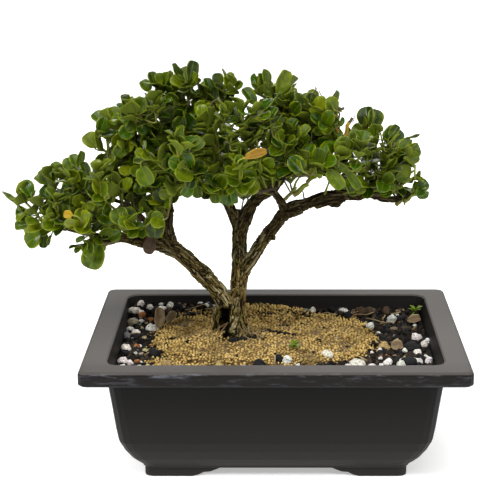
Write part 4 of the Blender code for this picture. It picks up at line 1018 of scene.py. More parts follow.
def ball_height(x, y):
    """The top of the clay granules: a low mound, highest at the trunk, lumpy all over."""
    rise = BALL_RISE * math.exp(-(x * x + y * y) / BALL_RISE_WIDTH ** 2)
    return BALL_EDGE_TOP + rise + relief(x, y, 0.0065, BALL_BUMP)


def mix_height(x, y):
    return MIX_TOP + relief(x, y, 0.011, MIX_BUMP)


def inside_pot(edge):
    """Half the length and half the width of the pot's inside, less an edge."""
    return POT_LENGTH / 2 - RIM_INSET - WALL - edge, POT_WIDTH / 2 - RIM_INSET - WALL - edge


def own_pebbles():
    """The places and sizes of the part's own pebbles, half sunk in the mix, by the same draws."""
    rng = random.Random(SEED)
    half_x, half_y = inside_pot(0.002)
    spots = []
    found = []
    while len(found) < PEBBLES:
        size = rng.uniform(0.0024, 0.0044)
        x = POT_X + rng.uniform(-1, 1) * (half_x - size)
        y = rng.uniform(-1, 1) * (half_y - size)
        if (outside_ball(x, y) < size + 0.0012
                or any(math.hypot(x - a, y - b) < size + c + 0.0008 for a, b, c in spots)):
            continue
        spots.append((x, y, size))
        bm = bmesh.new()
        bmesh.ops.create_icosphere(bm, subdivisions=1, radius=size)
        shape = Matrix.Diagonal((1.0, rng.uniform(0.7, 0.95), rng.uniform(0.6, 0.85)))
        turn = Matrix.Rotation(rng.uniform(0, 6.28), 3, "Z")
        centre = Vector((x, y, mix_height(x, y) + size * 0.15))
        corners = [centre + turn @ shape @ vertex.co * rng.uniform(0.9, 1.0) for vertex in bm.verts]
        bm.free()
        middle = sum(corners, Vector()) / len(corners)
        found.append((middle.x, middle.y, max((corner.xy - middle.xy).length for corner in corners)))
    return found


# More growth, to fill the crown


def seen(point):
    """A place as the camera sees it, on a sheet through the trunk: how far across, and how far up."""
    ray = point - CAMERA_PLACE
    scale = -CAMERA_PLACE.dot(CAMERA_AHEAD) / ray.dot(CAMERA_AHEAD)
    return CAMERA_PLACE.x + ray.x * scale, CAMERA_PLACE.dot(CAMERA_UP) + ray.dot(CAMERA_UP) * scale


def placed(across, up, y):
    """The place at a depth y that the camera sees at a point of the sheet, in mm."""
    ray = (Vector((across / 1000 - CAMERA_PLACE.x, 0, 0)) - CAMERA_AHEAD * CAMERA_PLACE.dot(CAMERA_AHEAD)
           + CAMERA_UP * (up / 1000 - CAMERA_PLACE.dot(CAMERA_UP)))
    return CAMERA_PLACE + ray * ((y - CAMERA_PLACE.y) / ray.y)


def in_crown(point):
    """Whether a place is inside the outline of the crown."""
    across, up = (value * 1000 for value in seen(point))
    for (x, low, high), (next_x, next_low, next_high) in zip(CROWN, CROWN[1:]):
        if x <= across < next_x:
            share = (across - x) / (next_x - x)
            return mixed(low, next_low, share) < up < mixed(high, next_high, share)
    return False


def in_gap(point):
    """Whether a place shows in one of the gaps between the leaves."""
    across, up = (value * 1000 for value in seen(point))
    return any(math.hypot(across - x, up - y) < reach for x, y, reach in GAPS)


def leaf_fits(leaf):
    """Whether a leaf stays inside the outline of the crown, and out of its gaps."""
    side = leaf.along.cross(leaf.normal) * (leaf.length * leaf.breadth * 0.45)
    middle = leaf.base + leaf.along * (leaf.length * 0.6)
    spots = leaf.base + leaf.along * leaf.length, middle - side, middle + side
    return all(in_crown(spot) and not in_gap(spot) for spot in spots)


def grow_fillers(wood, space):
    """Short leafy shoots from the woody twigs and limbs, inside the crown."""
    shoots = []
    for number, limb in enumerate(wood):
        rng = random.Random(SEED * 7000 + number)
        path = along(limb.points, FINE_STEP) if limb.end_way else limb.points
        directions = ways(path)
        for share in FILLER_SHARES:
            for side in range(FILLER_SIDES):
                shoot = filler_stem(limb, path, directions, share, space, rng)
                if shoot:
                    space["stems"].add(stem_shape(shoot, 0.05))
                    leaves = grow_pairs(shoot, space, rng, FILL_LENGTH)
                    shoots.append((shoot, {spot: leaf for spot, leaf in leaves.items() if leaf_fits(leaf)}))
    return shoots


def filler_stem(limb, path, directions, share, space, rng):
    """One short shoot from a limb, where there is room in the crown, or none."""
    for attempt in range(FILLER_TRIES):
        k = min(len(path) - 1, int((share + rng.uniform(-0.08, 0.08)) * len(path)))
        radius = limb.radius + (limb.end_radius - limb.radius) * k / len(path)
        around = Quaternion(directions[k], rng.uniform(0, 2 * math.pi)) @ directions[k].orthogonal().normalized()
        out = (around + Vector((0, 0, 0.45)) + directions[k] * 0.5).normalized()
        length = rng.uniform(*FILLER_LENGTH)
        start = path[k] + out * radius * 0.5
        if start.z < CROWN_BOTTOM or not in_crown(start + out * length * 1.3):
            continue
        bow = around.cross(out) * rng.uniform(-0.001, 0.001)
        shoot = Stem(start, out, out.orthogonal().normalized(), length, *FILLER_RADII, bow, FILLER_PAIRS)
        guard = stem_shape(shoot, min(0.9, (radius * 1.6 + 0.001) / length), GAP / 2)
        if all(part.clear(guard) for part in space.values()):
            return shoot
    return None


def fine_leaf(leaf, space, rng):
    """The real leaf in the place of a plain one: rather smaller, more upright, and tilted in its own way."""
    length = leaf.length * rng.uniform(*FINE_SHARE)
    breadth = rng.uniform(*FINE_BREADTH)
    for attempt in range(FINE_TRIES):
        way = turned(leaf.along + Vector((0, 0, 0.38)), 0.26 + 0.03 * attempt, rng)
        upper = square_to(way, turned(leaf.normal, 0.60, rng))
        fine = Leaf(leaf.base, way, upper, length * (1 - 0.05 * attempt), breadth)
        if leaf_fits(fine):
            break
    space["leaves"].add(blade(fine))
    return fine


def sheet_leaf(across, up, tip_across, tip_up, breadth, twist, depth):
    """A leaf given by its stalk's end and its tip on the sheet, turned from facing the front."""
    base = placed(across, up, depth)
    tip = placed(tip_across, tip_up, depth + (tip_up - up) / 1000 * TIP_BACK)
    way = (tip - base).normalized()
    upper = Quaternion(way, math.radians(twist)) @ (CAMERA_PLACE - base).normalized()
    return Leaf(base, way, square_to(way, upper), (tip - base).length, breadth)


def stalk_to(place, way, hold):
    """A thin curved stalk from a hold to a place, where it arrives in the given direction."""
    turn = place - way * ((place - hold).length * 0.4)
    stalk = [hold.lerp(turn, share).lerp(turn.lerp(place, share), share) for share in STALK_SHARES]
    return stalk, *STALK_RADII


def nearest_hold(across, up, holds):
    """The place on a stem or twig that shows nearest to a point of the sheet, rather before than behind."""
    foot = Vector((across, up)) / 1000
    return min(holds, key=lambda pair: (pair[0] - foot).length + pair[1].y * DEPTH_COST)[1]


def hang_edge_leaves(wood, stems, space):
    """The leaves at the crown's edge and the shoots in its thin spots, each on a stalk from what is nearest."""
    holds = [point for limb in wood for point in limb.points[2:] if in_crown(point)]
    holds += [stem_point(stem, share) for stem in stems for share in (0.3, 0.6, 0.9)]
    holds = [(Vector(seen(hold)), hold) for hold in holds]
    rng = random.Random(SEED + 30)
    edge_leaves = []
    stalks = []
    for across, up, *rest in EDGE_LEAVES:
        hold = nearest_hold(across, up, holds)
        leaf = sheet_leaf(across, up, *rest, hold.y - EDGE_FRONT)
        space["leaves"].add(blade(leaf))
        edge_leaves.append((leaf, rng.uniform(0.0, 0.45)))
        stalks.append(stalk_to(leaf.base, leaf.along, hold))
    leaves = []
    shoots = []
    for across, up, *back in BUNCHES:
        rng = random.Random(f"{across} {up}")
        hold = nearest_hold(across, up - BUNCH_LENGTH * 1000, holds)
        end = placed(across, up, hold.y + (back[0] if back else BUNCH_BACK) / 1000)
        way = (Vector((rng.uniform(-0.5, 0.5), rng.uniform(-0.5, 0.1), 1.0))).normalized()
        start = end - way * BUNCH_LENGTH
        across = Quaternion(way, rng.uniform(0, 3)) @ way.orthogonal().normalized()
        shoot = Stem(start, way, across, BUNCH_LENGTH, *FILLER_RADII, Vector(), BUNCH_PAIRS)
        shoots.append(shoot)
        stalks.append(stalk_to(start, way, hold))
        found = grow_pairs(shoot, space, rng, FILL_LENGTH)
        leaves += [(leaf, 0.15 + 0.2 * node) for (node, face), leaf in found.items() if leaf_fits(leaf)]
    return edge_leaves, leaves, stalks + [stem_path(shoot) for shoot in shoots]


def fill_stem(stem, space, rng):
    """Leaves between the pairs of a green stem, and young ones at its tip, as (leaf, age)."""
    found = []
    for share, lean, scale, first in BETWEEN_PAIRS + (BUD_PAIR,):
        part = stem._replace(nodes=((share, lean, scale),))
        for face in (first, first + 2):
            leaf = grow_leaf(part, 0, face, rng.uniform(*FILL_LENGTH), rng, space)
            if leaf and leaf_fits(leaf):
                way = turned(leaf.along, 0.16, rng)
                leaf = leaf._replace(along=way, normal=square_to(way, turned(leaf.normal, 0.40, rng)))
                found.append((leaf, share * share if lean > 0.5 else 1.0))
    return found


def dress_tree(wood, sprays, space):
    """The crown's edge leaves and its others as (leaf, age), and the stems as (points, radius, end radius)."""
    leaves = []
    stems = []
    space["leaves"] = Space()
    sprays = [spray for spray in sprays if in_crown(stem_point(spray.stem, 0.0))]
    for number, spray in enumerate(sprays):
        rng = random.Random(SEED * 5000 + number)
        stems.append(spray.stem)
        leaves += [(fine_leaf(leaf, space, rng), node / 4) for (node, face), leaf in spray.leaves.items()]
        for shoot, shoot_leaves in spray.shoots.values():
            stems.append(shoot)
            leaves += [(fine_leaf(leaf, space, rng), 0.6) for leaf in shoot_leaves.values()]
    edge_leaves, shoot_leaves, paths = hang_edge_leaves(wood, stems, space)
    leaves += shoot_leaves
    for number, spray in enumerate(sprays):
        leaves += fill_stem(spray.stem, space, random.Random(SEED * 6000 + number))
    for shoot, shoot_leaves in grow_fillers(wood, space):
        if shoot_leaves and not any(in_gap(stem_point(shoot, share)) for share in (0.0, 0.3, 0.6, 0.9)):
            stems.append(shoot)
            leaves += [(leaf, 0.3 + 0.3 * node) for (node, face), leaf in shoot_leaves.items()]
    return edge_leaves, leaves, paths + [stem_path(stem) for stem in stems]


def lifted(limb):
    """A twig without the plain one's sag: drawn up towards the line between its ends."""
    if not limb.end_way:
        return limb
    count = len(limb.points) - 1
    line = [limb.points[0].lerp(limb.points[-1], k / count) for k in range(count + 1)]
    return limb._replace(points=[point.lerp(straight, 0.8) if point.z < straight.z - 0.001 else point
                                 for point, straight in zip(limb.points, line)])


def skin_limbs():
    """The thick limbs and roots as the photograph shows them, with their knots."""
    limbs = []
    for name, (points, radius, end_radius, *sides) in (LIMBS | ROOTS).items():
        if name not in LOST_STUBS:
            drop, thick, end_thick, rise = (LIMB_CHANGES.get(name, (0.0, 1.0, 1.0)) + (0.0,))[:4]
            path = [point + Vector((0, 0, drop + rise * (k / len(points)) ** 2)) for k, point in enumerate(points)]
            limbs.append(Limb(along(path, LIMB_STEP), radius * thick, end_radius * end_thick, ROOT_SIDES))
    for points, radius, end_radius in KNOTS:
        limbs.append(Limb(along(points, LIMB_STEP), radius, end_radius, ROOT_SIDES))
    return limbs


def stem_path(stem):
    return [stem_point(stem, share) for share in STEM_SHARES], stem.radius, stem.end_radius


# Shapes


def leaf_points(name, leaves, bend=0.6):
    """A mesh with a point for each (leaf, age), and with what shapes and tints that leaf."""
    sizes = []
    looks = []
    for leaf, age in leaves:
        rng = random.Random(f"{leaf.base.x:.3f} {leaf.base.z:.3f}")
        sizes.append((leaf.length, leaf.length * leaf.breadth / 2, rng.gauss(1.15, bend)))
        tone = 0.47 + noise.noise(leaf.base * 34) * 0.5 + rng.gauss(0, 0.30)
        looks.append((within(tone), age, rng.gauss(1.0, 0.9)))
    bases, alongs, uppers, *rest = zip(*(leaf for leaf, age in leaves))
    return mesh_of(name, bases, base=bases, along=alongs, upper=uppers, size=sizes, look=looks)


def leaf_tree():
    """Blades: a thin closed sheet on each point, widened, folded, cupped and drooped by formula."""
    tree = Grower("leaf_blades", Rows=7, Columns=5, Thickness=0.00040, Stalk=0.12, StalkWidth=0.00045,
                  Fold=LEAF_FOLD, Droop=LEAF_DROOP, Wave=0.035)
    sheet = tree.add("GeometryNodeMeshCube", None, {
        "Size": (1, 1, 1), "Vertices X": tree.size("Rows"), "Vertices Y": tree.size("Columns"), "Vertices Z": 2})
    spread = tree.vector("MULTIPLY_ADD", tree.spot(), (1, 2, 2), (0.5, 0, 0))
    sheet = tree.copies(tree.start, tree.store(sheet, "leaf_map", spread))

    row, across, face = tree.parts(tree.named("leaf_map"))
    length, half, fold = tree.parts(tree.named("size"))
    tone, age, curl = tree.parts(tree.named("look"))
    stalk_row = 1 / 6
    blade = tree.math("MAXIMUM", (row - stalk_row) / (1 - stalk_row), 0.0)
    turn = blade * 3.09
    stalk = tree.size("Stalk")
    forward = (tree.math("MINIMUM", row / stalk_row, 1.0) * stalk
               + (1 - stalk) * (1 - tree.math("COSINE", turn)) * 0.5)
    body = tree.math("SINE", turn) ** 0.74 * (0.86 + 0.22 * forward)
    width = tree.size("StalkWidth") + body * half
    out = abs(across)
    edge = out * out
    ripple = tree.math("SINE", forward * 11 + tone * 20 + across * 1.5) * edge * tree.size("Wave") * length * body
    lift = (out * width * tree.size("Fold") * fold + edge * width * 0.10
            - forward * forward * forward * tree.size("Droop") * length * curl + ripple)
    on_stalk = 1 - tree.math("MINIMUM", blade * 5, 1.0)
    depth = tree.size("Thickness") * (1 - 0.5 * edge) + on_stalk * 0.00045
    along_way = tree.named("along")
    upper = tree.named("upper")
    side = tree.vector("CROSS_PRODUCT", upper, along_way)
    place = tree.vector("ADD", tree.named("base"), tree.stretch(along_way, forward * length))
    place = tree.vector("ADD", place, tree.stretch(side, across * width))
    place = tree.vector("ADD", place, tree.stretch(upper, lift + face * depth * 0.5))
    return tree.end(tree.moved(sheet, Position=place))


def stem_lines(name, paths):
    """A mesh of open lines from (points, radius, end radius) paths, each point with its radius."""
    vertices = []
    edges = []
    facts = []
    for number, (points, radius, end_radius) in enumerate(paths):
        for k, point in enumerate(points):
            share = k / (len(points) - 1)
            if k:
                edges.append((len(vertices) - 1, len(vertices)))
            vertices.append(point)
            facts.append((mixed(radius, end_radius, share), share, (number * PICK_STEP) % 1.0))
    return mesh_of(name, vertices, edges, line=facts)


def show_stems(name, paths, finish, slot, **sizes):
    """Stems along paths, as one piece."""
    show(name, stem_lines(name, paths), line_tree(), finish, slot, **sizes)


def line_tree():
    """Round closed stems along lines, swollen and shrunk a little on their way."""
    tree = Grower("stems_on_lines", Sides=8, Step=0.0016, Lumps=0.14, Wander=0.0004)
    line = tree.add("GeometryNodeMeshToCurve", None, {"Mesh": tree.start})
    line = tree.add("GeometryNodeResampleCurve", {"mode": "LENGTH"}, {"Curve": line, "Length": tree.size("Step")})
    radius, share, pick = tree.parts(tree.named("line"))
    swell = 1 + (tree.noise(tree.spot(), 420.0) - 0.5) * 2 * tree.size("Lumps")
    line = tree.moved(line, Offset=tree.drift(tree.spot(), 160.0, tree.size("Wander") * 2))
    ring = tree.add("GeometryNodeCurvePrimitiveCircle", None, {"Resolution": tree.size("Sides"), "Radius": 1.0})
    skin = tree.add("GeometryNodeCurveToMesh", None,
                    {"Curve": line, "Profile Curve": ring, "Scale": radius * swell, "Fill Caps": True})
    return tree.end(skin)


def limb_samples(wood):
    """Points along every thick limb and root: place, direction, a side, distance along, and radius."""
    samples = []
    for number, limb in enumerate(wood):
        path = along(limb.points, MAP_STEP)
        directions = ways(path)
        side = directions[0].orthogonal().normalized()
        run = number * MAP_START
        for k, (point, way) in enumerate(zip(path, directions)):
            if k:
                side = directions[k - 1].rotation_difference(way) @ side
                run += (point - path[k - 1]).length
            radius = limb.radius + (limb.end_radius - limb.radius) * k / (len(path) - 1)
            samples.append((point, way, side, run, radius))
    return samples


def limb_skin(wood):
    """All the thick limbs and roots as one skin, with a map of each point round and along its limb."""
    vertices = []
    faces = []
    for limb in wood:
        points, quads = tube(along(limb.points, SKIN_STEP), limb.radius, limb.end_radius, SKIN_SIDES)
        faces += [tuple(corner + len(vertices) for corner in quad) for quad in quads]
        vertices += points
    holder = stand("limbs", mesh_of("limbs", vertices, (), faces))
    melt = holder.modifiers.new("melt", "REMESH")
    melt.mode = "VOXEL"
    melt.voxel_size = LIMB_VOXEL
    ease = holder.modifiers.new("ease", "SMOOTH")
    ease.factor = 0.5
    ease.iterations = 6
    skin = changed_mesh(holder)
    bpy.data.objects.remove(holder)

    samples = limb_samples(wood)
    finder = KDTree(len(samples))
    for number, sample in enumerate(samples):
        finder.insert(sample[0], number)
    finder.balance()
    rounds = []
    for vertex in skin.vertices:
        best = min((find[2] / samples[find[1]][4], find[1]) for find in finder.find_n(vertex.co, 5))[1]
        point, way, side, run, radius = samples[best]
        out = (vertex.co - point).normalized()
        rounds.append((out.dot(side) * radius, out.dot(way.cross(side)) * radius, run))
    keep(skin, bark_map=rounds)
    return skin


def bark_tree():
    """Bark: long flaky ridges that wind along each limb, with deep cracks between them."""
    tree = Grower("bark", Width=0.0012, Long=11.0, Depth=0.0014, Fine=0.0011, Knots=0.0022)
    round_x, round_y, run = tree.parts(tree.named("bark_map"))
    spot = tree.xyz(round_x, round_y, run / tree.size("Long"))
    spot = tree.vector("ADD", spot, tree.drift(tree.xyz(round_x, round_y, run), 110.0, 0.0030))
    crack = tree.cells(spot, 1 / tree.size("Width"))
    ridge = tree.step(crack, 0.0, 0.24)
    fine = tree.noise(tree.vector("MULTIPLY", spot, (1.0, 1.0, 1.3)), 1500.0, 3.0)
    plate = tree.cells(spot, 1 / tree.size("Width"), "F1", "Color")
    high, rough, pick = tree.parts(plate)
    lump = tree.noise(tree.spot(), 90.0)
    relief = ridge * (0.45 + 0.55 * high)
    rise = ((relief - 0.60) * tree.size("Depth") + (fine - 0.5) * tree.size("Fine")
            + (lump - 0.5) * tree.size("Knots"))
    thick = tree.math("MINIMUM", tree.vector("LENGTH", tree.xyz(round_x, round_y, 0.0), out="Value") / 0.0050, 1.0)
    # The gap by the trunk's foot: dented in, and kept as a mask that paints it near black, as painted shade
    left, right, top, deep = FOOT_GAP
    x, y, z = tree.parts(tree.spot())
    dented_gap_painted_black = (tree.step(x, left - 0.0008, left + 0.0008) * tree.step(x * -1, -right - 0.0008, -right + 0.0008)
           * tree.step(z * -1, -top - 0.004, -top) * tree.step(y * -1, -0.0125, -0.0105))
    rise = rise * (0.25 + 0.75 * thick) - dented_gap_painted_black * tree.step(y * -1, -0.010, -0.006) * deep
    skin = tree.store(tree.swollen(tree.start, rise), "bark_look", tree.xyz(relief, fine, rough))
    skin = tree.store(skin, "bark_gap_painted_shade", tree.xyz(dented_gap_painted_black, 0.0, 0.0))
    return tree.end(skin)


def scatter_tree():
    """Grains: lumps strewn over a surface by the share that each of its points keeps."""
    tree = Grower("strewn_grains", Spacing=0.002, Density=400000.0, Seed=1, Small=0.0010, Large=0.0016,
                  Flat=0.7, Rough=0.0006, Grain=600.0, Sides=6, Rings=4)
    share, shade, spare = tree.parts(tree.named("share"))
    strewn = tree.add("GeometryNodeDistributePointsOnFaces", {"distribute_method": "POISSON"}, {
        "Mesh": tree.start, "Distance Min": tree.size("Spacing"), "Density Max": tree.size("Density"),
        "Density Factor": share, "Seed": tree.size("Seed")})
    strewn = tree.store(strewn, "grain", tree.xyz(tree.random(0.0, 1.0, 11), tree.random(0.0, 1.0, 12), shade))
    return lumps_on(tree, strewn, tree.random(tree.size("Small"), tree.size("Large"), 13))


def lumps_on(tree, points, radius):
    """A rough lump on each point, turned and squashed at random, each of another shape."""
    ball = tree.add("GeometryNodeMeshUVSphere", None,
                    {"Segments": tree.size("Sides"), "Rings": tree.size("Rings"), "Radius": 1.0})
    turn = tree.xyz(tree.random(-0.6, 0.6, 21), tree.random(-0.6, 0.6, 22), tree.random(0.0, 6.28, 23))
    scale = tree.xyz(radius, radius * tree.random(0.65, 0.95, 24), radius * tree.size("Flat"))
    dent = (tree.noise(tree.spot(), tree.size("Grain")) - 0.5) * 2 * tree.size("Rough")
    return tree.end(tree.swollen(tree.copies(points, ball, Rotation=turn, Scale=scale), dent))


def stone_tree():
    """Stones: a pitted lump on each point, of the point's own size and turn."""
    tree = Grower("stones", Level=3, Pits=0.0006, Grain=420.0)
    ball = tree.add("GeometryNodeMeshIcoSphere", None, {"Radius": 1.0, "Subdivisions": tree.size("Level")})
    stones = tree.copies(tree.start, ball, Rotation=tree.named("turn"), Scale=tree.named("size"))
    shape = tree.noise(tree.spot(), tree.size("Grain") * 0.7, 2.0) - 0.5
    pits = tree.step(tree.cells(tree.spot(), tree.size("Grain"), "F1", "Distance"), 0.1, 0.6)
    dent = shape * 6.5 * tree.size("Pits") + (pits - 0.7) * 0.9 * tree.size("Pits")
    return tree.end(tree.swollen(stones, dent))


# Finishes


def shaded(colour, share):
    return tuple(part * share for part in colour)


def leaf_finish(name, deep, middle, light, under, roughness, rich=None):
    """A leathery leaf: tone by leaf, a pale rim and midrib, fine side veins, and a paler underside."""
    made = Finish(name, Specular_Ior_Level=0.23)
    row, across, face = made.parts(made.read("leaf_map"))
    tone, age, curl = made.parts(made.read("look"))
    blotch = made.noise(made.place(), 260.0, 3.0) - 0.5
    ripe = tone * 0.66 + age * 0.28 + blotch * 0.95
    out = abs(across)
    veins = abs(made.math("SINE", (row * 1.25 - out * 0.30) * 34)) ** 3
    rib = 1 - made.step(out, 0.03, 0.13)
    below = made.step(face * -1, 0.2, 0.8)
    colour = made.layers(
        deep,
        (made.step(ripe, 0.08, 0.58), middle),
        (made.step(ripe, 0.48, 1.15), light),
        *([(made.step(curl, 1.2, 2.3) * 0.75, rich)] if rich else []),
        (veins * 0.08 + rib * 0.24 + made.step(out, 0.45, 0.95) * 0.14, light),
        (made.step(out + blotch * 0.25, 0.80, 0.98) * 0.52, shaded(light, 1.4)),
        (below * 0.62, under),
        ((1 - made.step(row, 0.10, 0.20)) * 0.7, light))
    matt = roughness - made.step(curl, 0.6, 2.0) * 0.20 + below * 0.40 + made.noise(made.place(), 700.0) * 0.14
    height = made.noise(made.place(), 520.0, 2.0) * 0.5 - rib * 0.5 - veins * 0.14
    return made.done(colour, matt, height, 0.00030, 0.55)


def stem_finish(name, base, tip, roughness):
    """Stems and twigs that turn from one colour at the base to another at the tip."""
    made = Finish(name, Specular_Ior_Level=0.35)
    radius, share, pick = made.parts(made.read("line"))
    speck = made.noise(made.place(), 900.0, 3.0)
    colour = made.layers(
        base,
        (made.step(share + (pick - 0.5) * 0.5, 0.15, 0.95), tip),
        (made.step(speck, 0.52, 0.75) * 0.45, shaded(base, 0.35)))
    return made.done(colour, roughness + speck * 0.2, speck, 0.00025, 0.6)


def bark_finish():
    """Grey-brown bark with an olive cast: pale worn ridges and dark cracks; darker higher up on the thinner limbs,
    partly their own darker bark and partly painted shade under the crown; and painted near black in the gap by the
    trunk's foot, as painted shade.
    """
    made = Finish("old_bark", Specular_Ior_Level=0.04)
    relief, fine, rough = made.parts(made.read("bark_look"))
    place = made.place()
    patch = made.noise(place, 60.0, 3.0)
    grain = made.noise(made.vector("MULTIPLY", made.read("bark_map"), (1.0, 1.0, 0.2)), 1700.0, 4.0, 0.65)
    x, y, z = made.parts(place)
    dented_gap_painted_black, *spare = made.parts(made.read("bark_gap_painted_shade"))
    colour = made.layers(
        BARK_BROWN,
        (made.step(patch, 0.35, 0.65), BARK_OLIVE),
        (made.step(relief + (fine - 0.5) * 1.2, 0.45, 1.0) * 0.75, BARK_PALE),
        (made.step(rough + (grain - 0.5) * 0.9 + (patch - 0.5), 0.66, 0.98) * 0.5, BARK_WORN),
        ((1 - made.step(grain, 0.36, 0.58)) * 0.60, shaded(BARK_BROWN, 0.3)),
        ((1 - made.step(relief + (grain - 0.5) * 0.45, 0.10, 0.42)) * 0.97, BARK_CRACK_AND_SHADE),
        # Darker higher up, on the thinner limbs: partly their own darker bark, partly painted shade under the crown
        (made.step(z + (patch - 0.5) * 0.05, 0.100, 0.175) * 0.80, BARK_CRACK_AND_SHADE),
        # The gap by the trunk's foot painted near black: painted shade
        (dented_gap_painted_black, BARK_GAP_PAINTED_SHADE))
    return made.done(colour, 0.82 + grain * 0.15, grain + fine * 0.6, 0.0005, 0.9)


def grain_finish(name, dark, middle, pale):
    """Loose soil grains, each of its own shade, dusty and matt."""
    made = Finish(name, Specular_Ior_Level=0.06)
    first, second, shade = made.parts(made.read("grain"))
    place = made.place()
    dust = made.noise(place, 1300.0, 3.0)
    area = made.noise(place, 55.0, 2.0)
    value = first * 0.75 + (area - 0.5) * 0.7 + (dust - 0.5) * 0.5
    colour = made.layers(
        dark,
        (made.step(value, 0.0, 0.5), middle),
        (made.step(value, 0.4, 1.0), pale),
        # Grains darkened by the patch's second value: at random, and towards the soil's hollows as painted shade
        (shade * 0.8, shaded(dark, 0.22)))
    return made.done(colour, 0.9 - dust * 0.1, dust, 0.0004, 0.8)


def ground_finish(name, dark, pale, spilt=None):
    """The packed soil below the loose grains, with the colours of the granules where they have spilt over it."""
    made = Finish(name, Specular_Ior_Level=0.15)
    crumb = made.cells(made.place(), 520.0, "F1", "Distance")
    dust = made.noise(made.place(), 900.0, 3.0)
    bumps = made.step(crumb + dust * 0.4, 0.3, 1.0)
    colour = made.mix(bumps, pale, dark)
    if spilt:
        x, y, z = made.parts(made.place())
        over = (made.step(y * -1 + dust * 0.006, 0.033, 0.043)
                * made.step(abs(x - SPILL_X) * -1 + (y + SPILL_WAVES) * 0.55, 0.002 - SPILL_HALF, 0.010 - SPILL_HALF))
        colour = made.mix(over, colour, made.mix(bumps, spilt[1], spilt[0]))
    return made.done(colour, 0.9 + dust * 0.05, dust - crumb)


def stone_finish():
    """Pumice, lava and pebbles: the tint of each stone, dusty, with dark pits."""
    made = Finish("strewn_stones", Specular_Ior_Level=0.25)
    place = made.place()
    tint = made.read("tint", "Color")
    dust = made.noise(place, 800.0, 4.0, 0.6)
    pits = made.cells(place, 900.0, "F1", "Distance")
    dark = made.vector("MULTIPLY", tint, (0.36, 0.33, 0.30))
    colour = made.layers(
        tint, (1 - made.step(pits, 0.10, 0.42), dark), ((1 - made.step(dust, 0.30, 0.62)) * 0.75, dark))
    return made.done(colour, 0.88 + dust * 0.08, made.step(pits, 0.0, 0.4) + dust, 0.0006, 0.9)


def plastic_finish():
    """Charcoal plastic with a fine matt skin, faint scuffs and a little dust on what faces up, with light and shade
    painted in: painted shadow under the rim and on the rim's front, painted floor light low on the body, painted light
    on the rim's top, and a painted sheen along the rim's front edge.
    """
    made = Finish("charcoal_plastic", Specular_Ior_Level=0.12)
    place = made.place()
    cloud = made.noise(place, 14.0, 3.0)
    skin = made.noise(place, 2600.0, 2.0)
    scuff = made.noise(made.vector("MULTIPLY", place, (0.35, 1.0, 2.4)), 170.0, 5.0, 0.7)
    x, y, z = made.parts(place)
    nx, ny, nz = made.parts(made.add("ShaderNodeNewGeometry", None, None, "Normal"))
    # What faces up: dust, and painted light on the rim's top and its rounding
    dust = made.step(nz, 0.25, 0.95)
    body = 1 - made.step(z, 0.074, 0.077)
    # The front of the rim, which is given painted shade
    front = made.step(y * -1, 0.070, 0.088)
    worn = (made.step(scuff, 0.50, 0.70) * made.step(z, 0.0775, 0.0795) * made.step(y * -1, 0.05, 0.09)
            * (1 - made.step(nz, 0.5, 0.9) * 0.9))
    colour = made.layers(
        PLASTIC_DARK,
        (cloud, PLASTIC_LIGHT),
        # Painted shadow under the rim: the body darker towards its top
        (made.step(z, 0.020, 0.074) * body * 0.80, shaded(PLASTIC_DARK, 0.2)),
        # Painted light from the floor: the body lighter towards its foot
        ((1 - made.step(z, 0.0, 0.035)) * 0.6, shaded(PLASTIC_LIGHT, 1.9)),
        (made.step(z, 0.0768, 0.0785) * (1 - dust) * front * 0.30, PLASTIC_SHADOW),
        # Dust and painted light on the rim's top and its rounding, with painted shade towards the front
        (dust * (0.75 - front * 0.13) * made.step(z, 0.080, 0.086), PLASTIC_DUST_AND_TOP_LIGHT),
        # Scuffs on the rim's front, stronger along its top edge as a painted sheen
        (worn * (0.16 + made.step(z, 0.083, 0.0885) * 0.6), PLASTIC_SCUFF_AND_SHEEN))
    matt = 0.46 + cloud * 0.10 + worn * 0.2 + dust * 0.06
    return made.done(colour, matt, skin + scuff * 0.6, 0.00012, 0.35)


def floor_finish():
    """The pale floor, with the faintest cloudiness."""
    made = Finish("pale_floor", Specular_Ior_Level=0.1, Emission_Color=WHITE, Emission_Strength=FLOOR_GLOW)
    cloud = made.noise(made.place(), 3.0)
    return made.done(made.mix(cloud * 0.03, FLOOR_PALE, shaded(FLOOR_PALE, 0.9)), 0.9 + cloud * 0.02)


# Soil


def soil_top(x, y):
    """The height of the soil, and how far outside the root ball a place is."""
    outside = outside_ball(x, y)
    mound = max(tall * max(0.0, 1 - ((x - a) / wide) ** 2 - ((y - b) / deep) ** 2)
                for a, b, wide, deep, tall in MOUNDS)
    if outside < 0:
        return ball_height(x, y) + mound, outside
    back = within((y - 0.040) / 0.034)
    high = mixed(HEAP_LEFT, HEAP_RIGHT, within((x + 0.030) / 0.090))
    return mix_height(x, y) + max(mound, high * back * back * (3 - 2 * back)), outside


def on_soil(x, y, lift):
    return Vector((x, y, soil_top(x, y)[0] + lift))


def heaped(x, y):
    """How high the matted granules are heaped at a place, from 0 to 1."""
    reach = max(1.4 - math.hypot((x - a) / wide, (y - b) / deep) * 1.3 for a, b, wide, deep in HEAPS)
    return within(min(1.0, reach) * (0.35 + (lumps(x, y, 130, 7.0) * 1.5 + lumps(x, y, 320, 3.0) * 0.6)))


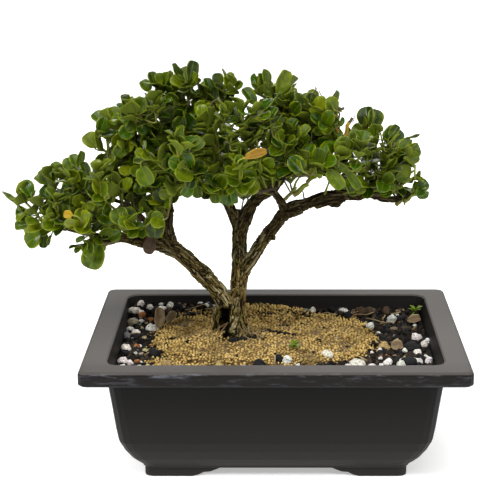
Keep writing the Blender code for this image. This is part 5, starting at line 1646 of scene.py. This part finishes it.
def soil_patch(name, want, rise=0.0):
    """The top of the soil as a fine grid; want gives the share of grains at a place, and their shade."""
    half_x, half_y = inside_pot(SOIL_EDGE)
    vertices = []
    shares = []
    for j in range(SOIL_ROWS + 1):
        for i in range(SOIL_COLUMNS + 1):
            x = POT_X + half_x * (2 * i / SOIL_COLUMNS - 1)
            y = half_y * (2 * j / SOIL_ROWS - 1)
            height, outside = soil_top(x, y)
            vertices.append((x, y, height + (rise * heaped(x, y) if rise else 0.0)))
            shares.append(want(x, y, outside))
    row = SOIL_COLUMNS + 1
    faces = [(k, k + 1, k + row + 1, k + row) for j in range(SOIL_ROWS) for k in range(j * row, j * row + row - 1)]
    return mesh_of(name, vertices, (), faces, share=shares)


def ball_edge(x, y, outside):
    """How far outside the granules a place is: they spill over the root ball's edge towards the front."""
    waves = lumps(x, y, 55, 7.0) * 0.35 - 0.25
    reach = SPILL_HALF - abs(x - SPILL_X) + max(0.0, -y - SPILL_WAVES) * waves * 2.0
    spill = within((-y - SPILL_START) / 0.014) * within(reach / 0.010)
    return outside - spill * SPILL_OVER + lumps(x, y, 95, 0.2) * 0.007


def in_hollow(x, y):
    """How deep in one of the dark hollows a place is, from 0 to 1."""
    deepest = 0.0
    for middle_x, middle_y, reach, turn, slim in HOLLOWS:
        dx, dy = x - middle_x / 1000, y - middle_y / 1000
        far = math.hypot(dx * math.cos(turn) + dy * math.sin(turn),
                         (dy * math.cos(turn) - dx * math.sin(turn)) / slim) / (reach / 1000)
        deepest = max(deepest, min(1.0, 1.6 - far * 1.3 + lumps(x, y, 260, 4.0) * 0.4))
    return deepest


def from_trunk(x, y):
    """How far a place of the soil is from the middle of the trunk's foot."""
    return math.hypot(x - TRUNK_FOOT[0], y - TRUNK_FOOT[1])


def granule_share(x, y, outside):
    """Granules lie on the root ball, but for its hollows; they are darker towards the hollows, as painted shade, and in
    patches and behind and beside the trunk.
    """
    hollow = in_hollow(x, y)
    keep_out = from_trunk(x, y) < TRUNK_CLEAR or ball_edge(x, y, outside) > 0.003 or hollow > 0.8
    darkening = noise.noise(Vector((x * 60 + 3.1, y * 60, 1.7))) + max(0.0, 0.5 - math.hypot(x + 0.022, y - 0.030) * 14)
    # The second value darkens the granules: towards the hollows as painted shade, and in patches and behind the trunk
    return (0.0 if keep_out else 1.0), within(max(darkening * 1.2, hollow)), 0.0


def heap_share(x, y, outside):
    """A second layer of granules, browner, where they are heaped."""
    if (heaped(x, y) < 0.22 or from_trunk(x, y) < HEAP_CLEAR or ball_edge(x, y, outside) > 0.0
            or in_hollow(x, y) > 0.5):
        return 0.0, 0.0, 0.0
    return 1.0, 0.12 + 0.45 * max(0.0, lumps(x, y, 90, 9.0)), 0.0


def crumb_share(x, y, outside):
    """Dark crumbs lie all round the root ball and in its hollows, with a few on its edge."""
    many = ball_edge(x, y, outside) > 0.001 or in_hollow(x, y) > 0.55
    return (1.0 if many else 0.010), 0.0, 0.0


def stone_points():
    """Where each stone lies, its half sizes and its kind: those of the photograph, the part's, and grit."""
    rng = random.Random(SEED + 40)
    spots = []
    for kind, stones in STONES.items():
        for x, y, width, tall in stones:
            half = width / 2000
            spots.append((x / 1000, y / 1000, half, half * rng.uniform(0.75, 0.95), half * min(tall, 1.35), kind))
    for (x, y, size), kind in zip(own_pebbles(), PEBBLE_KINDS):
        spots.append((x, y, size * 1.10, size * 1.05, size * 1.02, kind))
    for kind, (count, low, high) in GRIT.items():
        strewn = 0
        while strewn < count:
            x = POT_X + rng.uniform(-1, 1) * GRIT_REACH[0]
            y = rng.uniform(-1, 1) * GRIT_REACH[1]
            if ball_edge(x, y, soil_top(x, y)[1]) < GRIT_EDGE and rng.random() > GRIT_STRAY:
                continue
            half = rng.uniform(low, high) / 2000
            spots.append((x, y, half, half * rng.uniform(0.7, 0.95), half * rng.uniform(0.6, 0.9), kind))
            strewn += 1
    return spots


def make_stones():
    rng = random.Random(SEED + 41)
    rows = []
    for x, y, wide, deep, tall, kind in stone_points():
        height = soil_top(x, y)[0]
        turn = (rng.uniform(-0.35, 0.35), rng.uniform(-0.35, 0.35), rng.uniform(-0.5, 0.5))
        shade = rng.uniform(0.8, 1.12)
        tint = [part * shade * rng.uniform(0.95, 1.05) for part in STONE_TINTS[kind]]
        rows.append(((x, y, height + tall * 0.45), (wide, deep, tall), turn, tint))
    tree = stone_tree()
    finish = stone_finish()
    for name, level in (("pumice_and_stones", 3), ("grit", 2)):
        points, sizes, turns, tints = zip(*(row for row in rows if (row[1][0] <= GRIT_SIZE) == (name == "grit")))
        mesh = mesh_of(name, points, size=sizes, turn=turns, tint=tints)
        show(name, mesh, tree, finish, "potting_mix", Level=level)


def make_litter():
    """Dry bits of root and straw that lie on the soil, and rootlets round the trunk's foot."""
    rng = random.Random(SEED + 42)
    paths = []
    for x, y, turn, length, radius in LITTER:
        x, y, length, radius = x / 1000, y / 1000, length / 1000, radius / 1000
        lay = []
        for k in range(6):
            step = (k / 5 - 0.5) * length
            px = x + math.cos(turn) * step + rng.gauss(0, 0.0006)
            py = y + math.sin(turn) * step + rng.gauss(0, 0.0006)
            lay.append(on_soil(px, py, STRAW_LIFT + radius))
        paths.append((lay, radius, radius * 0.6))
    for n in range(ROOTLETS):
        turn = rng.uniform(0, 2 * math.pi)
        lay = []
        reach = rng.uniform(0.009, 0.022)
        for k in range(7):
            far = 0.006 + reach * k / 6
            turn += rng.gauss(0, 0.30)
            px, py = 0.002 + math.cos(turn) * far, TRUNK_FOOT[1] + math.sin(turn) * far
            lay.append(on_soil(px, py, 0.006 * (1 - k / 6) ** 3 + 0.0016))
        paths.append((lay, *ROOTLET_RADII))
    finish = stem_finish("dry_roots", (0.20, 0.13, 0.06), (0.42, 0.32, 0.16), 0.75)
    show_stems("litter_and_rootlets", paths, finish, "bark", Sides=5)


# Pieces

# Seedlings: the place of each and the soil it stands in; the number, length and breadth of its blades; which way its
# stem goes, from how far above the plain one's foot, and how far; and how its blades lean
SEEDLINGS = {
    "seedling_1": ((0.043, -0.020), ball_height, 9, 0.0050, 0.46, (0.0, -0.4, 1.0), 0.0, 0.006, (-0.1, -0.7, 0.0)),
    "seedling_2": ((0.126, 0.052), mix_height, 11, 0.0066, 0.15, (0.62, 0.57, 0.50), 0.003, 0.0135, (0.0, 0.0, 0.25)),
}


def make_leaves(edge_leaves, leaves, tree, count):
    """All the green leaves, with the spray nodes that they stand for."""
    finish = leaf_finish("green_leaf", LEAF_DEEP, LEAF_MIDDLE, LEAF_LIGHT, LEAF_UNDER, 0.33, LEAF_RICH)
    nodes = {f"spray_{number:02d}": sum(corner.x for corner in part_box(f"spray_{number:02d}")) / 2
             for number in range(1, count + 1)}
    for side, name in ((-1, "leaves_of_the_left_side"), (1, "leaves_of_the_right_side")):
        own = [(leaf, age) for leaf, age in leaves if (leaf.base.x - CROWN_MIDDLE) * side > 0]
        own_nodes = [node for node, middle in nodes.items() if (middle - CROWN_MIDDLE) * side > 0]
        show(name, leaf_points(name, own), tree, finish, "leaf", own_nodes)
    name = "leaves_at_the_edge"
    show(name, leaf_points(name, edge_leaves, 0.15), tree, finish, "leaf", Rows=13, Columns=7)


def make_odd_leaves(tree, stems):
    """The gold, orange and brown leaves, where the photograph shows them, on stalks from the nearest stem."""
    holds = [hold for points, *radii in stems for hold in points]
    stalks = []
    for name, (leaf_slot, colours, spot) in ODD_LEAVES.items():
        finish = leaf_finish(name + "_skin", *colours, 0.40)
        leaf = sheet_leaf(*spot)
        stalks.append(stalk_to(leaf.base, leaf.along, min(holds, key=lambda hold: (hold - leaf.base).length)))
        mesh = leaf_points(name, [(leaf, 0.5)], 0.2)
        show("fine_" + name, mesh, tree, finish, leaf_slot, [name], Rows=13, Columns=9)
    return stalks


def make_fallen_leaves(tree):
    """Dry leaves on the soil, curled, standing or lying as in the photograph."""
    finish = leaf_finish("dry_leaf_skin", *DRY_COLOURS, 0.62)
    for name, (x, y, way, upper, length, breadth, lift) in DRY_LEAVES.items():
        way = Vector(way).normalized()
        leaf = Leaf(on_soil(x, y, lift), way, square_to(way, Vector(upper)), length, breadth)
        mesh = leaf_points(name, [(leaf, 0.5)], 0.2)
        show("fine_" + name, mesh, tree, finish, "dry_leaf", [name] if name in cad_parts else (),
             Rows=13, Columns=9, Fold=0.55, Wave=0.06, Stalk=0.05)


def make_seedlings(tree):
    """The two seedlings: a tuft of small bright leaves, and a rosette of narrow pointed blades."""
    finish = leaf_finish("seedling_skin", *SEEDLING_COLOURS, 0.35)
    green = stem_finish("seedling_stem", (0.10, 0.20, 0.02), (0.16, 0.30, 0.03), 0.4)
    for name, (place, ground, blades, length, breadth, stem_way, lift, reach, lean) in SEEDLINGS.items():
        start = Vector((*place, ground(*place) - SEEDLING_ROOT)) + Vector((0, 0, lift))
        stem = Stem(start, Vector(stem_way).normalized(), None, reach, SEEDLING_RADIUS, SEEDLING_RADIUS * 0.9)
        rng = random.Random(name)
        leaves = []
        for k in range(blades):
            turn = k * BLADE_TURN
            way = (Vector((math.cos(turn), math.sin(turn), rng.uniform(0.35, 1.5))) + Vector(lean)).normalized()
            base = stem_point(stem, 0.92 + 0.08 * k / blades)
            leaf = Leaf(base, way, square_to(way, Vector((0, 0, 1))), length * rng.uniform(0.75, 1.1), breadth)
            leaves.append((leaf, 1.0))
        show("fine_" + name, leaf_points(name, leaves), tree, finish, "leaf", [name], Stalk=0.05)
        show_stems(name + "_stem", [stem_path(stem)], green, "leaf", Wander=0.0)


def make_wood(wood):
    """The bark-covered limbs, and the thin woody twigs on them."""
    twigs = [limb for limb in wood if limb.end_way]
    show("trunk_and_limbs", limb_skin(skin_limbs()), bark_tree(), bark_finish(), "bark", ["trunk_and_branches"])
    paths = [(along(limb.points, TWIG_READ), limb.radius, limb.end_radius) for limb in twigs]
    paths += [snag_path(*snag) for snag in SNAGS]
    finish = stem_finish("twig_bark", (0.060, 0.040, 0.024), (0.10, 0.095, 0.035), 0.75)
    show_stems("woody_twigs", paths, finish, "bark", Lumps=0.25, Wander=0.0006)


def snag_path(start, end, depth, thick):
    """A slightly crooked thin twig from one spot of the sheet to another, at one depth, all in mm."""
    start, end = placed(*start, depth / 1000), placed(*end, depth / 1000)
    rng = random.Random(str(start))
    loose = (end - start).length * 0.05
    path = [start.lerp(end, share) + Vector([rng.gauss(0, loose) for axis in range(3)])
            for share in STEM_SHARES[1:-1]]
    return [start] + path + [end], thick / 1000, thick / 1300


def make_soil():
    # The granules' colours in the packed soil: a darker copy of the loose granules', as painted shade in the gaps
    # between them
    granules = (0.10, 0.060, 0.022), (0.34, 0.23, 0.09)
    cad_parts["potting_mix"].material_slots[0].material = ground_finish(
        "packed_mix", (0.006, 0.005, 0.004), (0.030, 0.025, 0.020), granules)
    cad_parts["root_ball"].material_slots[0].material = ground_finish("packed_granules", *granules)
    tree = scatter_tree()
    tan = grain_finish("granules", (0.38, 0.250, 0.075), (0.66, 0.460, 0.155), (0.74, 0.55, 0.23))
    show("granules_on_top", soil_patch("granules", granule_share), tree, tan, "clay_granules",
         Spacing=0.00172, Small=0.00075, Large=0.00135, Seed=3, Rough=0.0008, Grain=900.0, Sides=5)
    show("heaped_granules", soil_patch("heaps", heap_share, 0.0030), tree, tan, "clay_granules",
         Spacing=0.0018, Small=0.0008, Large=0.0014, Seed=8, Rough=0.0009, Grain=900.0, Sides=5)
    black = grain_finish("crumbs", (0.008, 0.007, 0.006), (0.022, 0.018, 0.015), (0.075, 0.055, 0.040))
    show("crumbs_on_top", soil_patch("crumbs", crumb_share), tree, black, "potting_mix",
         Spacing=0.0024, Small=0.0012, Large=0.0026, Seed=5, Rough=0.0012, Flat=0.6, Grain=420.0)
    make_stones()
    make_litter()


def make_plant():
    wood, sprays, space = grow_tree()
    wood = [lifted(limb) for limb in wood if not limb.end_way or in_crown(limb.points[-1])]
    edge_leaves, leaves, paths = dress_tree(wood, sprays, space)
    paths += [snag_path(*shoot) for shoot in GREEN_SHOOTS]
    tree = leaf_tree()
    make_wood(wood)
    make_leaves(edge_leaves, leaves, tree, len(sprays))
    paths += make_odd_leaves(tree, paths)
    green = stem_finish("green_stem", (0.15, 0.14, 0.022), (0.19, 0.25, 0.020), 0.50)
    show_stems("green_stems", paths, green, "leaf", Lumps=0.10)
    yellow = stem_finish("yellow_stem", (0.34, 0.22, 0.012), (0.38, 0.27, 0.015), 0.5)
    show_stems("yellow_stubs", [snag_path(*shoot) for shoot in YELLOW_SHOOTS], yellow, "leaf")
    make_fallen_leaves(tree)
    make_seedlings(tree)


# Studio


def make_studio():
    camera = bpy.data.cameras.new("camera")
    camera.lens = CAMERA_LENS
    camera.shift_x = CAMERA_SHIFT
    camera.clip_end = 50.0
    view = stand("camera", camera)
    view.location = CAMERA_PLACE
    view.rotation_euler = (math.pi / 2 - CAMERA_TILT, 0, 0)
    bpy.context.scene.camera = view

    corners = [(x * FLOOR_REACH, y * FLOOR_REACH, 0) for x, y in ((-1, -1), (1, -1), (1, 1), (-1, 1))]
    floor = mesh_of("floor", corners, (), [(0, 1, 2, 3)])
    floor.materials.append(floor_finish())
    ground = stand("floor", floor)

    # What the camera sees past the floor is plain white; the light that falls on the part is dimmer
    world = bpy.data.worlds.new("studio")
    world.use_nodes = True
    lit = world.node_tree.nodes["Background"]
    lit.inputs["Color"].default_value = WHITE
    lit.inputs["Strength"].default_value = WORLD_LIGHT
    sheet = Sheet(world.node_tree)
    seen_by = sheet.add("ShaderNodeLightPath", None, None, "Is Camera Ray")
    plain = sheet.add("ShaderNodeBackground", None, {"Color": WHITE})
    both = sheet.add("ShaderNodeMixShader", None, {0: seen_by, 1: Wire(sheet, lit.outputs[0]), 2: plain})
    sheet.join(both, world.node_tree.nodes["World Output"].inputs["Surface"])
    bpy.context.scene.world = world
    sun = bpy.data.lights.new("sun", "SUN")
    sun.energy = SUN_LIGHT
    sun.angle = math.radians(SUN_SPREAD)
    stand("sun", sun).rotation_euler = (math.radians(SUN_TURN[0]), math.radians(SUN_TURN[1]), 0)
    for name, place, aim, size, power in LAMPS:
        lamp = bpy.data.lights.new(name, "AREA")
        lamp.shape = "DISK"
        lamp.size = size
        lamp.energy = power
        held = stand(name, lamp)
        held.location = place
        held.rotation_euler = (Vector(aim) - Vector(place)).to_track_quat("-Z", "Y").to_euler()
    bpy.context.scene.view_settings.view_transform = "Standard"


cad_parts["pot"].material_slots[0].material = plastic_finish()
make_soil()
make_plant()
make_studio()
